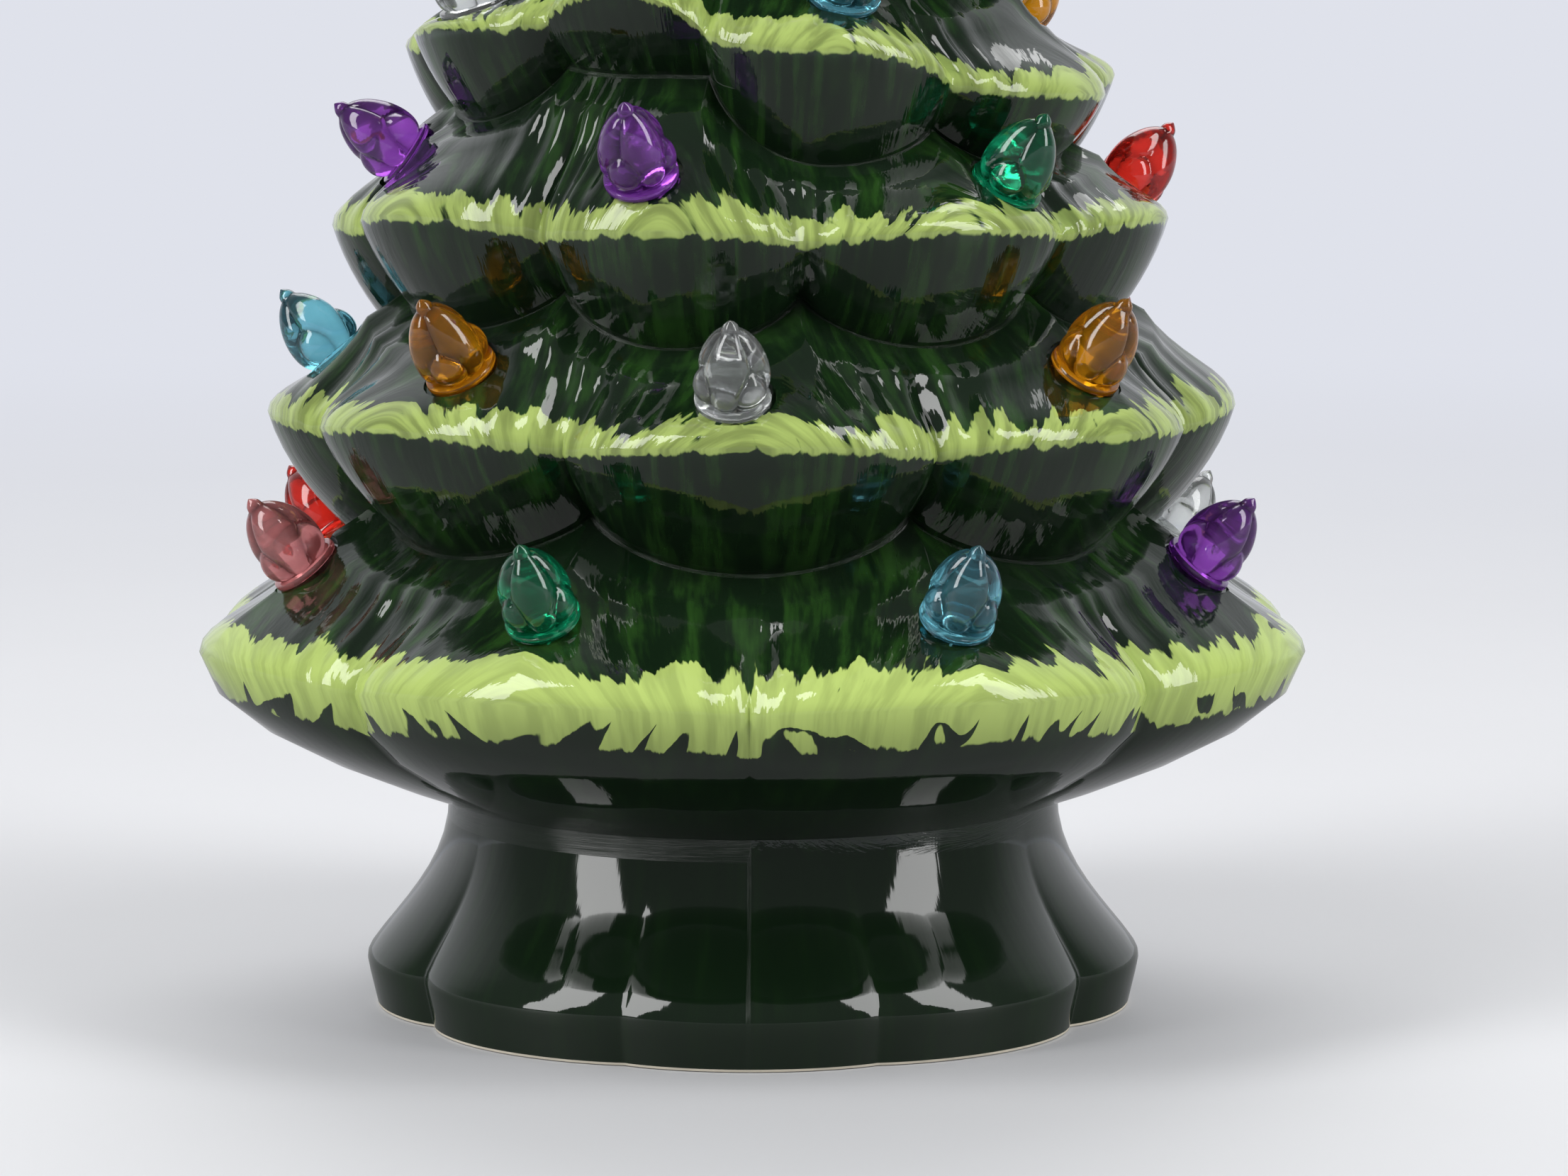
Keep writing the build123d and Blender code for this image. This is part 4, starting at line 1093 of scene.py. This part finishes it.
class TREE_OT_star(bpy.types.Operator):
    """Round the star's edges and mould it in amber plastic"""

    bl_idname = "tree.star"
    bl_label = "Star topper"

    def execute(self, context):
        settings = context.scene.tree_bulbs
        rough = new_object("star_rough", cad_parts["star_topper"].data.copy())
        modify(rough, "WELD", merge_threshold=STAR_WELD)
        modify(rough, "DECIMATE", decimate_type="DISSOLVE", angle_limit=math.radians(STAR_FLAT))
        edges = {"limit_method": "ANGLE", "angle_limit": math.radians(STAR_EDGE)}
        modify(rough, "BEVEL", width=settings.bevel, segments=2, **edges)
        mesh = evaluated_mesh(rough)
        mesh.name = "faceted_star"
        smooth(mesh, STAR_SHARP)
        mesh.materials.clear()
        mesh.materials.append(tinted_plastic("amber_star_plastic", settings.star, STAR_CLEARNESS))
        star = new_object("faceted_star", mesh)
        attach(star, "star")
        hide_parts("star_topper")
        return {"FINISHED"}


class TREE_OT_light_unit(bpy.types.Operator):
    """Finish the battery light unit that closes the base"""

    bl_idname = "tree.light_unit"
    bl_label = "Light unit"

    def execute(self, context):
        settings = context.scene.tree_fittings
        finishes = [
            (moulded_plastic(name, getattr(settings, tint), roughness), nodes)
            for tint, name, roughness, nodes in FITTINGS
        ]
        finishes.append((plated_metal("plated_spring_strip", settings.metal), METAL_NODES))
        finishes.append((tinted_plastic("lamp_lens", settings.lens, LENS_CLEARNESS), ("lamp",)))
        for finish, nodes in finishes:
            for node in nodes:
                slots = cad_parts[node].data.materials
                slots.clear()
                slots.append(finish)
        return {"FINISHED"}


class TREE_OT_stage(bpy.types.Operator):
    """Lay the pale table, hang the softboxes and place the camera"""

    bl_idname = "tree.stage"
    bl_label = "Stage"

    def lay_table(self, settings):
        """A round pale table that fades into the backdrop, plainer and darker in what lights the tree."""
        circle = around_circle(TABLE_SIDES)
        edge = [(TABLE_RADIUS * math.cos(a), TABLE_RADIUS * math.sin(a), -TABLE_GAP) for a in circle]
        mesh = new_mesh("table_top", edge, [tuple(range(TABLE_SIDES))])
        shade = new_shade("pale_table")
        points = shade.coordinates()
        tint = settings.floor
        rays = shade.node("ShaderNodeLightPath").outputs
        direct = shade.plus(rays["Is Camera Ray"], rays["Is Transmission Ray"])
        seen = shade.math("MINIMUM", shade.scaled(rays["Is Glossy Ray"], TABLE_GLOSSY, direct), 1.0)
        pale = shade.patchy(tint, shade.noise(points, *TABLE_NOISE), *TABLE_PATCHES)
        shade.set(Base_Color=shade.mix(direct, dim(tint, TABLE_DIM), pale), Roughness=TABLE_ROUGHNESS)
        far = shade.fade(shade.measure("LENGTH", points), *TABLE_FADE)
        shade.show(shade.times(far, seen), "ShaderNodeEmission", settings.backdrop)
        mesh.materials.append(shade.owner)
        new_object("table_top", mesh)

    def light_room(self, settings):
        """A world that is bright behind the tree and dim in front, with a plain backdrop for the camera."""
        shade = Shade(bpy.data.worlds.new("soft_room"), "Background")
        behind = shade.split(shade.coordinates("Generated"))["Y"]
        level = shade.fade(behind, *ROOM_EDGE, settings.room_strength, settings.sky_strength)
        shade.set(Color=settings.sky, Strength=level)
        seen = shade.node("ShaderNodeLightPath").outputs["Is Camera Ray"]
        shade.show(seen, "ShaderNodeBackground", settings.backdrop)
        return shade.owner

    def hang_softbox(self, name, place, size, power):
        """A rectangular soft light that faces the tree."""
        lamp = bpy.data.lights.new(name, "AREA")
        lamp.shape = "RECTANGLE"
        lamp.size, lamp.size_y = size
        lamp.energy = power
        holder = new_object(name, lamp)
        holder.location = place
        aim = Vector((0, 0, AIM_HEIGHT)) - Vector(place)
        holder.rotation_euler = aim.to_track_quat("-Z", "Y").to_euler()

    def place_camera(self, settings):
        """The photo's camera."""
        lens = bpy.data.cameras.new("photo_camera")
        lens.sensor_width = SENSOR_WIDTH
        lens.sensor_fit = "HORIZONTAL"
        lens.lens = settings.focal
        lens.clip_start = NEAR_CLIP
        camera = new_object("photo_camera", lens)
        camera.location = (settings.aside, -settings.distance, settings.height)
        camera.rotation_euler = (math.pi / 2 - settings.tilt, 0.0, 0.0)
        return camera

    def execute(self, context):
        settings = context.scene.tree_stage
        self.lay_table(settings)
        context.scene.world = self.light_room(settings)
        for side, place, size in SOFTBOXES:
            self.hang_softbox(f"{side}_softbox", place, size, getattr(settings, f"{side}_power"))
        context.scene.camera = self.place_camera(settings)
        context.scene.view_settings.view_transform = "Standard"
        return {"FINISHED"}


class TREE_PT_sidebar(bpy.types.Panel):
    """The tree's pieces and settings"""

    bl_idname = "TREE_PT_sidebar"
    bl_label = "Ceramic tree"
    bl_space_type = "VIEW_3D"
    bl_region_type = "UI"
    bl_category = "Tree"

    def draw(self, context):
        for operator in OPERATORS:
            self.layout.operator(operator.bl_idname)
        for group in GROUPS:
            settings = getattr(context.scene, group)
            for name in settings.__annotations__:
                self.layout.prop(settings, name)


OPERATORS = (TREE_OT_stage, TREE_OT_casting, TREE_OT_bulbs, TREE_OT_star, TREE_OT_light_unit)
GROUPS = {
    "tree_glaze": GlazeSettings,
    "tree_bulbs": BulbSettings,
    "tree_fittings": FittingSettings,
    "tree_stage": StageSettings,
}


def register():
    """Add the settings, operators and panel."""
    for kind in (*GROUPS.values(), *OPERATORS, TREE_PT_sidebar):
        bpy.utils.register_class(kind)
    for name, kind in GROUPS.items():
        setattr(bpy.types.Scene, name, bpy.props.PointerProperty(type=kind))


def unregister():
    """Take them away again."""
    for name in GROUPS:
        delattr(bpy.types.Scene, name)
    for kind in (TREE_PT_sidebar, *reversed(OPERATORS), *reversed(GROUPS.values())):
        bpy.utils.unregister_class(kind)


def main():
    """Make every piece in order."""
    register()
    bpy.ops.tree.stage()
    bpy.ops.tree.casting()
    bpy.ops.tree.bulbs()
    bpy.ops.tree.star()
    bpy.ops.tree.light_unit()


if __name__ == "__main__":
    main()
